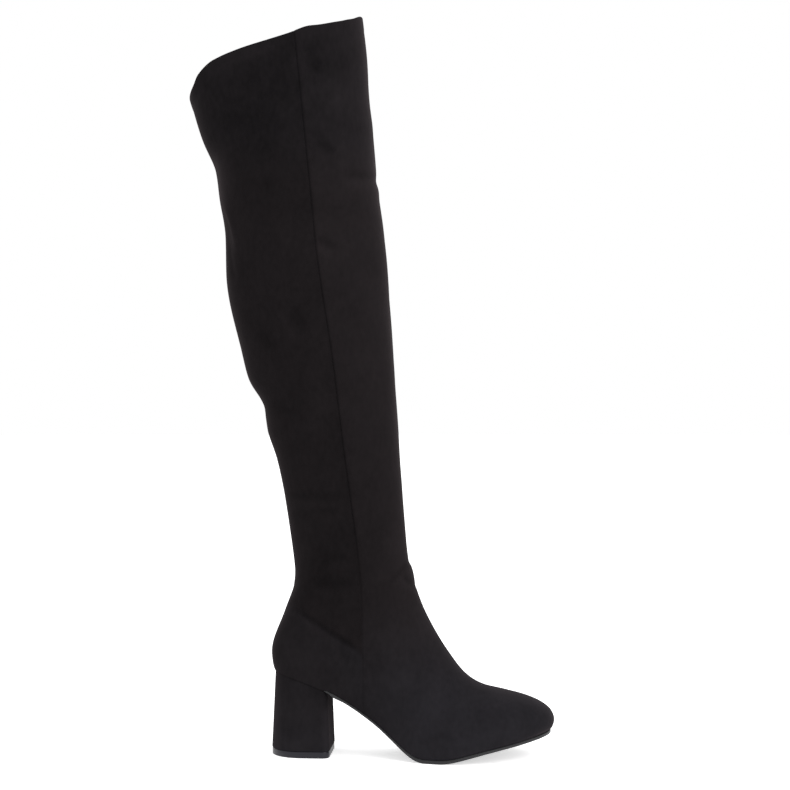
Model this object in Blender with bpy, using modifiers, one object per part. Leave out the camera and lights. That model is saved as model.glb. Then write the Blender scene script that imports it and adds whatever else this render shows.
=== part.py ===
"""Over-the-knee boot with a block heel, right foot, standing empty on its sole.

Five pieces make it: a hollow suede upper from toe to collar, an insole, an outsole, a covered heel and the
heel's top piece. The upper is a front and a back panel sewn together down both sides.

Sizes are millimetres on the last: x runs forward from the heel point, y to the wearer's left (the inner side
of a right boot), z up from the floor. Meshes are stored in metres. The empty that carries the pieces sets the
middle of the boot's box over the origin.
"""

import math

import bmesh
import bpy
import numpy as np

MM = 0.001

# Driving sizes of the last, the heel and the materials
SOLE_REAR = 2.0
SOLE_TIP = 237.0
HEEL_ROUND = 27.0
TOE_ROUND = 62.0
TOE_POWER = 2.3
TOE_SWING = 4.0
BALL = 150.0
TREAD_REAR = 131.0
TREAD_FRONT = 143.0
WALL = 1.8
GAP = 0.3
SOLE_MARGIN = 0.5
SOLE_CHAMFER = 0.7
INSOLE_THICK = 2.4
INSOLE_CLEARANCE = 0.7
LIFT_THICK = 5.8
LIFT_CHAMFER = 1.2

# Heel block: the seat end follows the sole, the floor end flares a little
BREAST_TOP = 49.0
HEEL_FLOOR_REAR = -0.5
HEEL_FLOOR_BREAST = 50.8
HEEL_FLOOR_HALF_WIDTH = 25.5
HEEL_SEAT_INSET = 0.4
BREAST_CORNER = 6.0

# Collar: a straight slope down from the shin, turned up at the front edge, its back corner rounded off
COLLAR_REAR = (-71.0, 558.8)
COLLAR_FRONT = (76.4, 626.3)
COLLAR_SLOPE = 0.31
COLLAR_FRONT_RISE = 5.0
COLLAR_FRONT_REACH = 16.0
COLLAR_CORNER_LENGTH = 27.0
COLLAR_CORNER_DROP = 16.8
COLLAR_CORNER_POWER = 1.4

# Side seams: a groove where the two panels are sewn and turned
SEAM_GROOVE = 0.6
SEAM_ROLL = 2.2

# Mesh steps
FOOT_RINGS = 20
SHAFT_RINGS = 26
BACK_COLUMNS = 8
FRONT_COLUMNS = 13
FRONT_SPREAD = 1.25
SOLE_STATIONS = 43
HEEL_SIDE_POINTS = 18
HEEL_RINGS = 7
BISECTIONS = 40

# Sole stations: place along the last, underside height, thickness, half-widths before heel and toe close
SOLE_COLUMNS = ("x", "underside", "thick", "outer", "inner")
SOLE_TABLE = np.array(
    [
        (2.0, 71.2, 1.5, 26.5, 26.5),
        (26.0, 64.6, 1.5, 27.2, 26.7),
        (49.0, 55.3, 1.8, 26.7, 25.2),
        (70.0, 42.8, 2.2, 25.7, 22.2),
        (90.0, 28.5, 2.3, 27.0, 21.7),
        (103.0, 17.4, 2.5, 30.3, 24.2),
        (112.0, 9.5, 2.8, 33.4, 27.4),
        (118.0, 4.8, 3.0, 35.5, 29.7),
        (124.0, 1.5, 3.1, 37.5, 32.0),
        (TREAD_REAR, 0.0, 3.2, 39.3, 34.3),
        (TREAD_FRONT, 0.0, 3.2, 41.9, 38.3),
        (151.0, 0.8, 3.1, 43.1, 39.9),
        (160.0, 2.8, 3.0, 43.7, 41.2),
        (171.0, 5.7, 2.9, 43.4, 41.6),
        (182.0, 8.6, 2.7, 42.6, 41.4),
        (209.0, 14.2, 2.4, 37.6, 38.2),
        (237.0, 20.7, 2.3, 32.0, 33.0),
    ]
)
SOLE = dict(zip(SOLE_COLUMNS, SOLE_TABLE.T))

# Sections of the last from toe tip to collar. Each is a line in the side view from the lower line (the sole's
# edge as far as the heel point, then the back of the leg) to the upper line (vamp, instep and shin).
LINE_COLUMNS = ("section", "low_x", "low_z", "high_x", "high_z")
ON_SOLE = math.nan
HEEL_SECTION = 15
ANKLE_SECTION = 20
COLLAR_SECTION = 35
LAST_SECTION = 36
LINE_TABLE = np.array(
    [
        (0, 237.0, ON_SOLE, 237.0, 23.3),
        (1, 233.5, ON_SOLE, 239.3, 31.0),
        (2, 226.0, ON_SOLE, 236.8, 37.9),
        (3, 214.0, ON_SOLE, 229.5, 44.2),
        (4, 199.0, ON_SOLE, 216.0, 50.3),
        (5, 183.0, ON_SOLE, 196.5, 55.6),
        (6, 166.0, ON_SOLE, 179.5, 59.9),
        (7, 150.0, ON_SOLE, 166.5, 67.4),
        (9, 120.0, ON_SOLE, 149.7, 87.8),
        (11, 89.0, ON_SOLE, 133.8, 114.2),
        (12, 71.0, ON_SOLE, 127.2, 128.3),
        (13, 49.0, ON_SOLE, 122.0, 143.3),
        (14, 25.0, ON_SOLE, 119.6, 155.2),
        (15, 2.0, ON_SOLE, 116.0, 164.6),
        (16, -0.8, 87.2, 114.2, 178.5),
        (18, 11.0, 123.5, 111.3, 211.0),
        (19, 18.2, 144.0, 110.0, 231.0),
        (20, 19.1, 155.0, 109.1, 243.0),
        (21, 14.6, 191.0, 107.4, 271.0),
        (23, 4.0, 249.5, 103.4, 330.0),
        (24, -4.0, 275.0, 101.6, 354.5),
        (25, -6.2, 291.5, 99.9, 381.0),
        (26, -10.5, 301.5, 98.6, 401.0),
        (27, -20.6, 318.0, 97.0, 421.5),
        (28, -27.4, 343.5, 94.6, 445.0),
        (30, -39.6, 408.0, 88.5, 487.5),
        (31, -40.6, 440.0, 86.9, 509.0),
        (32, -45.7, 472.0, 85.3, 531.0),
        (33, -48.6, 494.0, 82.3, 554.5),
        (34, -60.3, 523.0, 80.5, 590.0),
        (COLLAR_SECTION, *COLLAR_REAR, *COLLAR_FRONT),
        (LAST_SECTION, -79.5, 592.0, 73.0, 660.0),
    ]
)
LINE = dict(zip(LINE_COLUMNS, LINE_TABLE.T))

# Girth of those sections: greatest half-widths, the level where they lie, roundness above and below it
GIRTH_COLUMNS = ("section", "outer", "inner", "level", "crown", "base")
GIRTH_TABLE = np.array(
    [
        (0, 34.0, 35.0, 0.45, 2.0, 2.0),
        (3, 39.0, 39.5, 0.40, 2.0, 2.0),
        (5, 44.2, 43.2, 0.33, 2.0, 2.0),
        (7, 45.0, 42.0, 0.30, 1.9, 2.0),
        (9, 39.5, 36.0, 0.33, 1.9, 2.0),
        (11, 34.0, 31.0, 0.40, 1.9, 2.0),
        (13, 32.0, 31.5, 0.43, 2.0, 2.1),
        (15, 32.5, 32.5, 0.46, 2.1, 2.3),
        (18, 33.5, 33.5, 0.50, 2.1, 2.2),
        (20, 35.5, 35.5, 0.50, 2.1, 2.1),
        (24, 42.0, 42.0, 0.50, 2.1, 2.1),
        (27, 46.5, 46.5, 0.50, 2.1, 2.1),
        (31, 50.5, 50.5, 0.50, 2.1, 2.1),
        (LAST_SECTION, 54.0, 54.0, 0.50, 2.1, 2.1),
    ]
)
GIRTH = dict(zip(GIRTH_COLUMNS, GIRTH_TABLE.T))

# Side seam, read upward from the sole
SEAM_COLUMNS = ("z", "x")
SEAM_TABLE = np.array(
    [
        (35.0, 79.7),
        (101.0, 79.0),
        (134.0, 78.2),
        (172.0, 75.0),
        (263.0, 64.8),
        (346.0, 55.0),
        (425.0, 45.3),
        (523.0, 34.4),
        (615.0, 27.3),
    ]
)
SEAM = dict(zip(SEAM_COLUMNS, SEAM_TABLE.T))

OUTER, INNER = "outer", "inner"
SIDE_SIGN = {OUTER: -1.0, INNER: 1.0}


def smooth(at, stations, values):
    """Monotone cubic curve through the stations: it never overshoots, so a flat stretch stays flat."""
    step = np.diff(stations)
    rise = np.diff(values) / step
    before, after = rise[:-1], rise[1:]
    same_way = before * after > 0
    near, far = step[:-1] + 2 * step[1:], 2 * step[:-1] + step[1:]
    slope = np.zeros(len(stations))
    slope[0], slope[-1] = rise[0], rise[-1]
    mean = (near + far)[same_way] / (near[same_way] / before[same_way] + far[same_way] / after[same_way])
    slope[1:-1][same_way] = mean
    at = np.clip(at, stations[0], stations[-1])
    i = np.clip(np.searchsorted(stations, at) - 1, 0, len(step) - 1)
    s = (at - stations[i]) / step[i]
    start = values[i] + s * s * (3 - 2 * s) * (values[i + 1] - values[i])
    return start + step[i] * s * (1 - s) * (slope[i] * (1 - s) - slope[i + 1] * s)


def ease(share):
    """Smooth step from 0 to 1."""
    share = np.clip(share, 0.0, 1.0)
    return share * share * (3 - 2 * share)


def swing(x):
    """Sideways lean of the forefoot's centre line towards the big toe."""
    return TOE_SWING * ease((x - BALL) / (SOLE_TIP - BALL))


def toe_close(x, inset=0.0):
    """Share of the width left as the almond toe closes on its tip."""
    along = np.clip((x - (SOLE_TIP - inset - TOE_ROUND)) / TOE_ROUND, 0.0, 1.0)
    return (1 - along**TOE_POWER) ** (1 / TOE_POWER)


def heel_close(x, inset=0.0):
    """Share of the width left as the round heel closes on the heel point."""
    along = np.clip((SOLE_REAR + inset + HEEL_ROUND - x) / HEEL_ROUND, 0.0, 1.0)
    return np.sqrt(1 - along**2)


def feather_half_width(x, side, inset=0.0):
    """Half-width of the upper's lower edge in plan, or of an outline set in from it all round."""
    width = smooth(x, SOLE["x"], SOLE[side]) - inset
    return width * toe_close(x, inset) * heel_close(x, inset)


def sole_underside(x):
    """Height of the outsole's underside: seat, arch, flat tread and toe spring."""
    return smooth(x, SOLE["x"], SOLE["underside"])


def sole_top(x):
    """Height of the outsole's upper face."""
    return sole_underside(x) + smooth(x, SOLE["x"], SOLE["thick"])


def feather_line(x):
    """Height of the upper's lower edge, just clear of the sole."""
    return sole_top(x) + GAP


def lower_line(section):
    """The sole's edge from toe to heel point, then the back of heel, ankle and leg."""
    x = smooth(section, LINE["section"], LINE["low_x"])
    on_sole = LINE["section"] <= HEEL_SECTION
    z = smooth(section, LINE["section"], np.where(on_sole, feather_line(LINE["low_x"]), LINE["low_z"]))
    return x, np.where(section <= HEEL_SECTION, feather_line(x), z)


def upper_line(section):
    """Nose, vamp, instep and shin."""
    return (
        smooth(section, LINE["section"], LINE["high_x"]),
        smooth(section, LINE["section"], LINE["high_z"]),
    )


def section_at(x, z):
    """Section that passes through a side-view point, and the point's share of the way up it.

    Each section line parts the toe's side of the boot from the collar's, so the section is found by halving.
    """
    low, high = np.zeros_like(x), np.full_like(x, LAST_SECTION)
    for _ in range(BISECTIONS):
        middle = (low + high) / 2
        (ax, az), (bx, bz) = lower_line(middle), upper_line(middle)
        beyond = (bx - ax) * (z - az) > (bz - az) * (x - ax)
        low, high = np.where(beyond, middle, low), np.where(beyond, high, middle)
    section = (low + high) / 2
    (ax, az), (bx, bz) = lower_line(section), upper_line(section)
    length = np.maximum((bx - ax) ** 2 + (bz - az) ** 2, 1e-9)
    share = ((x - ax) * (bx - ax) + (z - az) * (bz - az)) / length
    return section, np.clip(share, 0.0, 1.0)


def half_width(x, z, side):
    """Half-width of the upper at a side-view point.

    Above the widest level it is a quarter superellipse that closes on the upper line. Below, it narrows in the
    same way to the sole's edge, or closes on the back line.
    """
    section, share = section_at(x, z)
    low_x, _ = lower_line(section)
    feather = np.where(section < HEEL_SECTION, feather_half_width(low_x, side), 0.0)
    widest = smooth(section, GIRTH["section"], GIRTH[side]) * toe_close(low_x)
    level = smooth(section, GIRTH["section"], GIRTH["level"])
    crown = smooth(section, GIRTH["section"], GIRTH["crown"])
    base = smooth(section, GIRTH["section"], GIRTH["base"])
    up = np.clip((share - level) / (1 - level), 0.0, 1.0)
    down = np.clip((level - share) / level, 0.0, 1.0)
    above = widest * (1 - up**crown) ** (1 / crown)
    below = (feather**base + (widest**base - feather**base) * (1 - down**base)) ** (1 / base)
    return np.where(share > level, above, below)


def collar_line(x):
    """Height of the collar's edge in the side view."""
    rear_x, front_x = COLLAR_REAR[0], COLLAR_FRONT[0]
    turned_up = COLLAR_FRONT_RISE * np.clip((x - front_x) / COLLAR_FRONT_REACH + 1, 0.0, 1.0) ** 2
    corner = np.clip((rear_x + COLLAR_CORNER_LENGTH - x) / COLLAR_CORNER_LENGTH, 0.0, 1.0)
    drop = 1 - (1 - corner**COLLAR_CORNER_POWER) ** (1 / COLLAR_CORNER_POWER)
    return COLLAR_SLOPE * (x - front_x) + turned_up - COLLAR_CORNER_DROP * drop


def ring_ends(ring):
    """Side-view ends of a ring: the feather edge is ring 0, the collar is ring 1."""
    ankle = FOOT_RINGS / (FOOT_RINGS + SHAFT_RINGS)
    foot = np.clip(ring / ankle, 0.0, 1.0)
    shaft = np.clip((ring - ankle) / (1 - ankle), 0.0, 1.0) * (COLLAR_SECTION - ANKLE_SECTION)
    rear = lower_line(HEEL_SECTION + foot * (ANKLE_SECTION - HEEL_SECTION) + shaft)
    front = upper_line(foot * ANKLE_SECTION + shaft)
    return rear, front, 1 - ease(foot), ease((shaft - COLLAR_SECTION + ANKLE_SECTION + 3) / 3)


def ring_height(x, ring):
    """Height of a ring over x: a straight run between its ends, bowed as the sole below and the collar above."""
    (rear_x, rear_z), (front_x, front_z), as_sole, as_collar = ring_ends(ring)
    along = (x - rear_x) / (front_x - rear_x)

    def bow(line):
        return line(x) - line(rear_x) - along * (line(front_x) - line(rear_x))

    straight = rear_z + along * (front_z - rear_z)
    return straight + as_sole * bow(feather_line) + as_collar * bow(collar_line)


def seam_crossing(ring):
    """Where the side seam crosses a ring in the side view."""
    z = ring_height(np.full_like(ring, SEAM["x"].mean()), ring)
    for _ in range(BISECTIONS):
        x = smooth(z, SEAM["z"], SEAM["x"])
        z = (z + ring_height(x, ring)) / 2
    return x


def panel_shares():
    """Column places across the back and the front panel, close together at the boot's edges and at the seam."""
    back = 1 - np.cos(np.linspace(0.0, math.pi / 2, BACK_COLUMNS + 1))
    front = np.sin(np.linspace(0.0, math.pi / 2, FRONT_COLUMNS + 1)) ** FRONT_SPREAD
    return back, front


def upper_rings():
    """Rings of the upper's outer face, from the feather edge to the collar, each going once round the boot."""
    ring = np.linspace(0.0, 1.0, FOOT_RINGS + SHAFT_RINGS + 1)[:, None]
    (rear_x, _), (front_x, _), _, _ = ring_ends(ring)
    seam_x = seam_crossing(ring)
    back, front = panel_shares()
    behind = rear_x + (seam_x - rear_x) * back
    ahead = seam_x + (front_x - seam_x) * front
    x = np.hstack([behind[:, :-1], seam_x - SEAM_ROLL, seam_x, seam_x + SEAM_ROLL, ahead[:, 1:]])
    z = ring_height(x, ring)
    groove = np.where(x == seam_x, SEAM_GROOVE, 0.0)
    around = []
    for side in (OUTER, INNER):
        y = swing(x) + SIDE_SIGN[side] * (half_width(x, z, side) - groove)
        around.append(np.stack([x, y, z], axis=-1))
    outer, inner = around
    return np.concatenate([outer, inner[:, -2:0:-1]], axis=1)


def end_stations(start, end, count):
    """Places from start to end, close together at both ends where an outline closes round."""
    return start + (end - start) * (1 - np.cos(np.linspace(0.0, math.pi, count))) / 2


def outline(x, outer, inner, z):
    """A loop that runs from toe to heel down the outer side and back up the inner side."""
    down = np.stack([x, swing(x) - outer, z], axis=-1)[::-1]
    up = np.stack([x, swing(x) + inner, z], axis=-1)
    return np.concatenate([down, up])


def sole_ring(inset, height, count=SOLE_STATIONS):
    """Loop round the foot's plan outline, set in by a margin, at a height given over x.

    It also passes through the rows of the sole's table, among them the ends of the flat tread.
    """
    x = np.union1d(end_stations(SOLE_REAR + inset, SOLE_TIP - inset, count), SOLE["x"][1:-1])
    return outline(x, feather_half_width(x, OUTER, inset), feather_half_width(x, INNER, inset), height(x))


def outsole_rings():
    """Underside, chamfer and top edge of the outsole."""
    return [
        sole_ring(SOLE_CHAMFER - SOLE_MARGIN, sole_underside),
        sole_ring(-SOLE_MARGIN, lambda x: sole_underside(x) + SOLE_CHAMFER),
        sole_ring(-SOLE_MARGIN, sole_top),
    ]


def insole_rings():
    """The insole lies on the outsole inside the upper's wall."""
    inset = WALL + INSOLE_CLEARANCE
    return [
        sole_ring(inset, lambda x: sole_top(x) + GAP),
        sole_ring(inset, lambda x: sole_top(x) + GAP + INSOLE_THICK),
    ]


def heel_outline(share, inset=0.0):
    """Places and half-widths of the heel's D-shaped section: round back, straight sides, flat breast."""
    rear = HEEL_FLOOR_REAR + share * (SOLE_REAR + HEEL_SEAT_INSET - HEEL_FLOOR_REAR) + inset
    breast = HEEL_FLOOR_BREAST + share * (BREAST_TOP - HEEL_FLOOR_BREAST) - inset
    x = end_stations(rear, breast, HEEL_SIDE_POINTS)
    round_back = np.clip((rear + HEEL_ROUND - x) / HEEL_ROUND, 0.0, 1.0)
    corner = np.clip((x - breast + BREAST_CORNER) / BREAST_CORNER, 0.0, 1.0)
    rounding = BREAST_CORNER * (1 - np.sqrt(1 - corner**2))
    widths = []
    for side in (OUTER, INNER):
        seat = smooth(x, SOLE["x"], SOLE[side]) - HEEL_SEAT_INSET
        full = HEEL_FLOOR_HALF_WIDTH + share * (seat - HEEL_FLOOR_HALF_WIDTH) - inset
        widths.append(full * np.sqrt(1 - round_back**2) - rounding)
    return x, widths[0], widths[1]


def heel_rings():
    """The heel block from its top piece up to the sole's underside."""
    floor = LIFT_THICK + GAP
    rings = []
    for share in np.linspace(0.0, 1.0, HEEL_RINGS):
        x, outer, inner = heel_outline(share)
        seat = sole_underside(np.maximum(x, SOLE_REAR)) - GAP
        rings.append(outline(x, outer, inner, floor + share * (seat - floor)))
    return rings


def lift_rings():
    """The top piece under the heel, chamfered where it meets the floor."""
    rings = []
    for z, inset in ((0.0, LIFT_CHAMFER), (LIFT_CHAMFER, 0.0), (LIFT_THICK, 0.0)):
        x, outer, inner = heel_outline(0.0, inset)
        rings.append(outline(x, outer, inner, np.full_like(x, z)))
    return rings


def loft(name, rings, capped):
    """Mesh through a stack of loops with the same number of points. Caps are strips from side to side."""
    rings = np.asarray(rings)
    count, around, _ = rings.shape
    faces = []
    for level in range(count - 1):
        for i in range(around):
            j = (i + 1) % around
            low, high = level * around, (level + 1) * around
            faces.append((low + i, low + j, high + j, high + i))
    if capped:
        last = (count - 1) * around
        for i in range(around // 2 - 1):
            strip = (i, i + 1, around - 2 - i, around - 1 - i)
            faces.append(strip[::-1])
            faces.append(tuple(last + corner for corner in strip))
    mesh = bpy.data.meshes.new(name)
    mesh.from_pydata((rings.reshape(-1, 3) * MM).tolist(), [], faces)
    mesh.validate()
    return mesh


def merge_ends(mesh):
    """Welds the points that an outline brings together at its heel and toe ends."""
    cage = bmesh.new()
    cage.from_mesh(mesh)
    bmesh.ops.remove_doubles(cage, verts=cage.verts, dist=1e-6)
    bmesh.ops.recalc_face_normals(cage, faces=cage.faces)
    cage.to_mesh(mesh)
    cage.free()


def material(name, colour, roughness):
    made = bpy.data.materials.new(name)
    made.use_nodes = True
    shader = made.node_tree.nodes["Principled BSDF"]
    shader.inputs["Base Color"].default_value = (*colour, 1.0)
    shader.inputs["Roughness"].default_value = roughness
    shader.inputs["Metallic"].default_value = 0.0
    return made


def piece(name, mesh, finish, collection, carrier):
    """Places one finished piece on the empty that carries the boot."""
    merge_ends(mesh)
    mesh.shade_smooth()
    mesh.set_sharp_from_angle(angle=math.radians(40))
    mesh.materials.append(finish)
    made = bpy.data.objects.new(name, mesh)
    made.parent = carrier
    collection.objects.link(made)
    return made


def main():
    for old in list(bpy.data.objects):
        bpy.data.objects.remove(old, do_unlink=True)
    collection = bpy.data.collections.new("heeled_boot")
    bpy.context.scene.collection.children.link(collection)
    carrier = bpy.data.objects.new("boot_frame", None)
    rear_most, front_most = COLLAR_REAR[0], LINE["high_x"].max()
    carrier.location = (-(rear_most + front_most) / 2 * MM, 0.0, 0.0)
    collection.objects.link(carrier)

    suede = material("black_suede", (0.013, 0.012, 0.013), 0.95)
    cover = material("black_heel_cover", (0.014, 0.013, 0.015), 0.95)
    rubber = material("black_sole_rubber", (0.02, 0.02, 0.021), 0.5)
    top_piece = material("black_top_piece", (0.03, 0.03, 0.032), 0.4)
    sock = material("black_sock_lining", (0.018, 0.018, 0.018), 0.8)

    upper = piece("upper", loft("upper", upper_rings(), False), suede, collection, carrier)
    shell = upper.modifiers.new("wall", "SOLIDIFY")
    shell.thickness = WALL * MM
    shell.offset = -1.0
    shell.use_even_offset = True
    shell.use_quality_normals = True

    piece("outsole", loft("outsole", outsole_rings(), True), rubber, collection, carrier)
    piece("insole", loft("insole", insole_rings(), True), sock, collection, carrier)
    piece("heel", loft("heel", heel_rings(), True), cover, collection, carrier)
    piece("heel_top_piece", loft("heel_top_piece", lift_rings(), True), top_piece, collection, carrier)


main()
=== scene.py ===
"""Over-the-knee boot with a block heel: the looks of its suede, lining, sole and heel.

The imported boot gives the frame. Every piece here is worked out again from the boot's own last, finer than
the solids, and carries the seams, creases and nap. Lengths on the last are millimetres: x runs forward from
the heel point, y to the wearer's left (the inner side of this right boot), z up from the floor. A pair named
for a run, or for where something ends, is the start and the length of a ramp.
"""

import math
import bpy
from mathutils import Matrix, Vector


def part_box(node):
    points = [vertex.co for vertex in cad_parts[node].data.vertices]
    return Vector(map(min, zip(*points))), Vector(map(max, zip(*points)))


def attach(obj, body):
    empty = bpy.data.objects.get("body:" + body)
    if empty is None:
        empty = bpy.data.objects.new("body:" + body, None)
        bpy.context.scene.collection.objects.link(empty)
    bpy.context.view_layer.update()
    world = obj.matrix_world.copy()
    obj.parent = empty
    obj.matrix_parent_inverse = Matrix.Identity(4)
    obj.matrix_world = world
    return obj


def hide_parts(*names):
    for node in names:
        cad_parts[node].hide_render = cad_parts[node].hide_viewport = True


bl_info = {
    "name": "Heeled boot",
    "version": (1, 0, 0),
    "blender": (4, 5, 0),
    "location": "3D View > Sidebar > Boot",
    "description": "Dresses the boot in suede, lining and rubber and sets it on a pale stage",
    "category": "Object",
}

import bmesh
import bpy
import numpy as np
from bpy.props import FloatProperty, FloatVectorProperty, PointerProperty
from mathutils import Vector

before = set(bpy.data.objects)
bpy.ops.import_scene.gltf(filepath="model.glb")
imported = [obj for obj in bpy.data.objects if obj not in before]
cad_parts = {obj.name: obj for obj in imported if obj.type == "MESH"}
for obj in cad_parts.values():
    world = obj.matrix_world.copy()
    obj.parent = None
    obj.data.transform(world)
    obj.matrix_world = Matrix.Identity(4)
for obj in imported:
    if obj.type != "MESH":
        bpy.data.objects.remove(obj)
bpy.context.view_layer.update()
UPPER_LOW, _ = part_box("upper")
BODY = "root"
MM = 0.001
TINY = 1e-9
MERGE_DISTANCE = 1e-6
SHARP_ANGLE = math.radians(50)

# Driving sizes of the last and the heel, as the solids have them
SOLE_REAR = 2.0
SOLE_TIP = 237.0
HEEL_ROUND = 27.0
TOE_ROUND = 62.0
TOE_POWER = 2.3
TOE_SWING = 4.0
BALL = 150.0
TREAD_REAR = 131.0
TREAD_FRONT = 143.0
GAP = 0.3
INSOLE_THICK = 2.4
LIFT_THICK = 5.8
BREAST_TOP = 49.0
SEAT_END = (43.0, 8.0)
HEEL_FLOOR_REAR = -0.5
HEEL_FLOOR_BREAST = 50.8
HEEL_FLOOR_HALF_WIDTH = 25.5
HEEL_SEAT_INSET = 0.4
BREAST_CORNER = 6.0
COLLAR_REAR = (-71.0, 558.8)
COLLAR_FRONT = (76.4, 626.3)
COLLAR_SLOPE = 0.31
COLLAR_FRONT_RISE = 5.0
COLLAR_FRONT_REACH = 16.0
COLLAR_CORNER_LENGTH = 27.0
COLLAR_CORNER_DROP = 16.8
COLLAR_CORNER_POWER = 1.4
ORIGIN_X = COLLAR_REAR[0] - UPPER_LOW.x / MM

# Upper, sole and heel meet closer here than the solids do
FEATHER_GAP = 0.06

# Sole stations: place along the last, underside height, thickness, half-widths before heel and toe close
SOLE_COLUMNS = ("x", "underside", "thick", "outer", "inner")
SOLE_TABLE = np.array(
    [
        (2.0, 71.2, 1.5, 26.5, 26.5),
        (26.0, 64.6, 1.5, 27.2, 26.7),
        (49.0, 55.3, 1.8, 26.7, 25.2),
        (70.0, 42.8, 2.2, 25.7, 22.2),
        (90.0, 28.5, 2.3, 27.0, 21.7),
        (103.0, 17.4, 2.5, 30.3, 24.2),
        (112.0, 9.5, 2.8, 33.4, 27.4),
        (118.0, 4.8, 3.0, 35.5, 29.7),
        (124.0, 1.5, 3.1, 37.5, 32.0),
        (TREAD_REAR, 0.0, 3.2, 39.3, 34.3),
        (TREAD_FRONT, 0.0, 3.2, 41.9, 38.3),
        (151.0, 0.8, 3.1, 43.1, 39.9),
        (160.0, 2.8, 3.0, 43.7, 41.2),
        (171.0, 5.7, 2.9, 43.4, 41.6),
        (182.0, 8.6, 2.7, 42.6, 41.4),
        (209.0, 14.2, 2.4, 37.6, 38.2),
        (237.0, 20.7, 2.3, 32.0, 33.0),
    ]
)
SOLE = dict(zip(SOLE_COLUMNS, SOLE_TABLE.T))

# Sections of the last from toe tip to collar, each a line in the side view from the lower to the upper line
LINE_COLUMNS = ("section", "low_x", "low_z", "high_x", "high_z")
ON_SOLE = math.nan
HEEL_SECTION = 15
ANKLE_SECTION = 20
COLLAR_SECTION = 35
LAST_SECTION = 36
LINE_TABLE = np.array(
    [
        (0, 237.0, ON_SOLE, 237.0, 23.3),
        (1, 233.5, ON_SOLE, 239.3, 31.0),
        (2, 226.0, ON_SOLE, 236.8, 37.9),
        (3, 214.0, ON_SOLE, 229.5, 44.2),
        (4, 199.0, ON_SOLE, 216.0, 50.3),
        (5, 183.0, ON_SOLE, 196.5, 55.6),
        (6, 166.0, ON_SOLE, 179.5, 59.9),
        (7, 150.0, ON_SOLE, 166.5, 67.4),
        (9, 120.0, ON_SOLE, 149.7, 87.8),
        (11, 89.0, ON_SOLE, 133.8, 114.2),
        (12, 71.0, ON_SOLE, 127.2, 128.3),
        (13, 49.0, ON_SOLE, 122.0, 143.3),
        (14, 25.0, ON_SOLE, 119.6, 155.2),
        (15, 2.0, ON_SOLE, 116.0, 164.6),
        (16, -0.8, 87.2, 114.2, 178.5),
        (18, 11.0, 123.5, 111.3, 211.0),
        (19, 18.2, 144.0, 110.0, 231.0),
        (20, 19.1, 155.0, 109.1, 243.0),
        (21, 14.6, 191.0, 107.4, 271.0),
        (23, 4.0, 249.5, 103.4, 330.0),
        (24, -4.0, 275.0, 101.6, 354.5),
        (25, -6.2, 291.5, 99.9, 381.0),
        (26, -10.5, 301.5, 98.6, 401.0),
        (27, -20.6, 318.0, 97.0, 421.5),
        (28, -27.4, 343.5, 94.6, 445.0),
        (30, -39.6, 408.0, 88.5, 487.5),
        (31, -40.6, 440.0, 86.9, 509.0),
        (32, -45.7, 472.0, 85.3, 531.0),
        (33, -48.6, 494.0, 82.3, 554.5),
        (34, -60.3, 523.0, 80.5, 590.0),
        (COLLAR_SECTION, *COLLAR_REAR, *COLLAR_FRONT),
        (LAST_SECTION, -79.5, 592.0, 73.0, 660.0),
    ]
)
LINE = dict(zip(LINE_COLUMNS, LINE_TABLE.T))

# Girth of those sections: greatest half-widths, the level where they lie, roundness above and below it
GIRTH_COLUMNS = ("section", "outer", "inner", "level", "crown", "base")
GIRTH_TABLE = np.array(
    [
        (0, 34.0, 35.0, 0.45, 2.0, 2.0),
        (3, 39.0, 39.5, 0.40, 2.0, 2.0),
        (5, 44.2, 43.2, 0.33, 2.0, 2.0),
        (7, 45.0, 42.0, 0.30, 1.9, 2.0),
        (9, 39.5, 36.0, 0.33, 1.9, 2.0),
        (11, 34.0, 31.0, 0.40, 1.9, 2.0),
        (13, 32.0, 31.5, 0.43, 2.0, 2.1),
        (15, 32.5, 32.5, 0.46, 2.1, 2.3),
        (18, 33.5, 33.5, 0.50, 2.1, 2.2),
        (20, 35.5, 35.5, 0.50, 2.1, 2.1),
        (24, 42.0, 42.0, 0.50, 2.1, 2.1),
        (27, 46.5, 46.5, 0.50, 2.1, 2.1),
        (31, 50.5, 50.5, 0.50, 2.1, 2.1),
        (LAST_SECTION, 54.0, 54.0, 0.50, 2.1, 2.1),
    ]
)
GIRTH = dict(zip(GIRTH_COLUMNS, GIRTH_TABLE.T))

# Side seam, read upward from the sole
SEAM_COLUMNS = ("z", "x")
SEAM_TABLE = np.array(
    [
        (35.0, 79.7),
        (101.0, 79.0),
        (134.0, 78.2),
        (172.0, 75.2),
        (263.0, 63.7),
        (346.0, 53.8),
        (392.0, 46.8),
        (425.0, 42.3),
        (470.0, 37.9),
        (523.0, 32.7),
        (564.0, 28.6),
        (615.0, 23.1),
    ]
)
SEAM = dict(zip(SEAM_COLUMNS, SEAM_TABLE.T))

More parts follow.
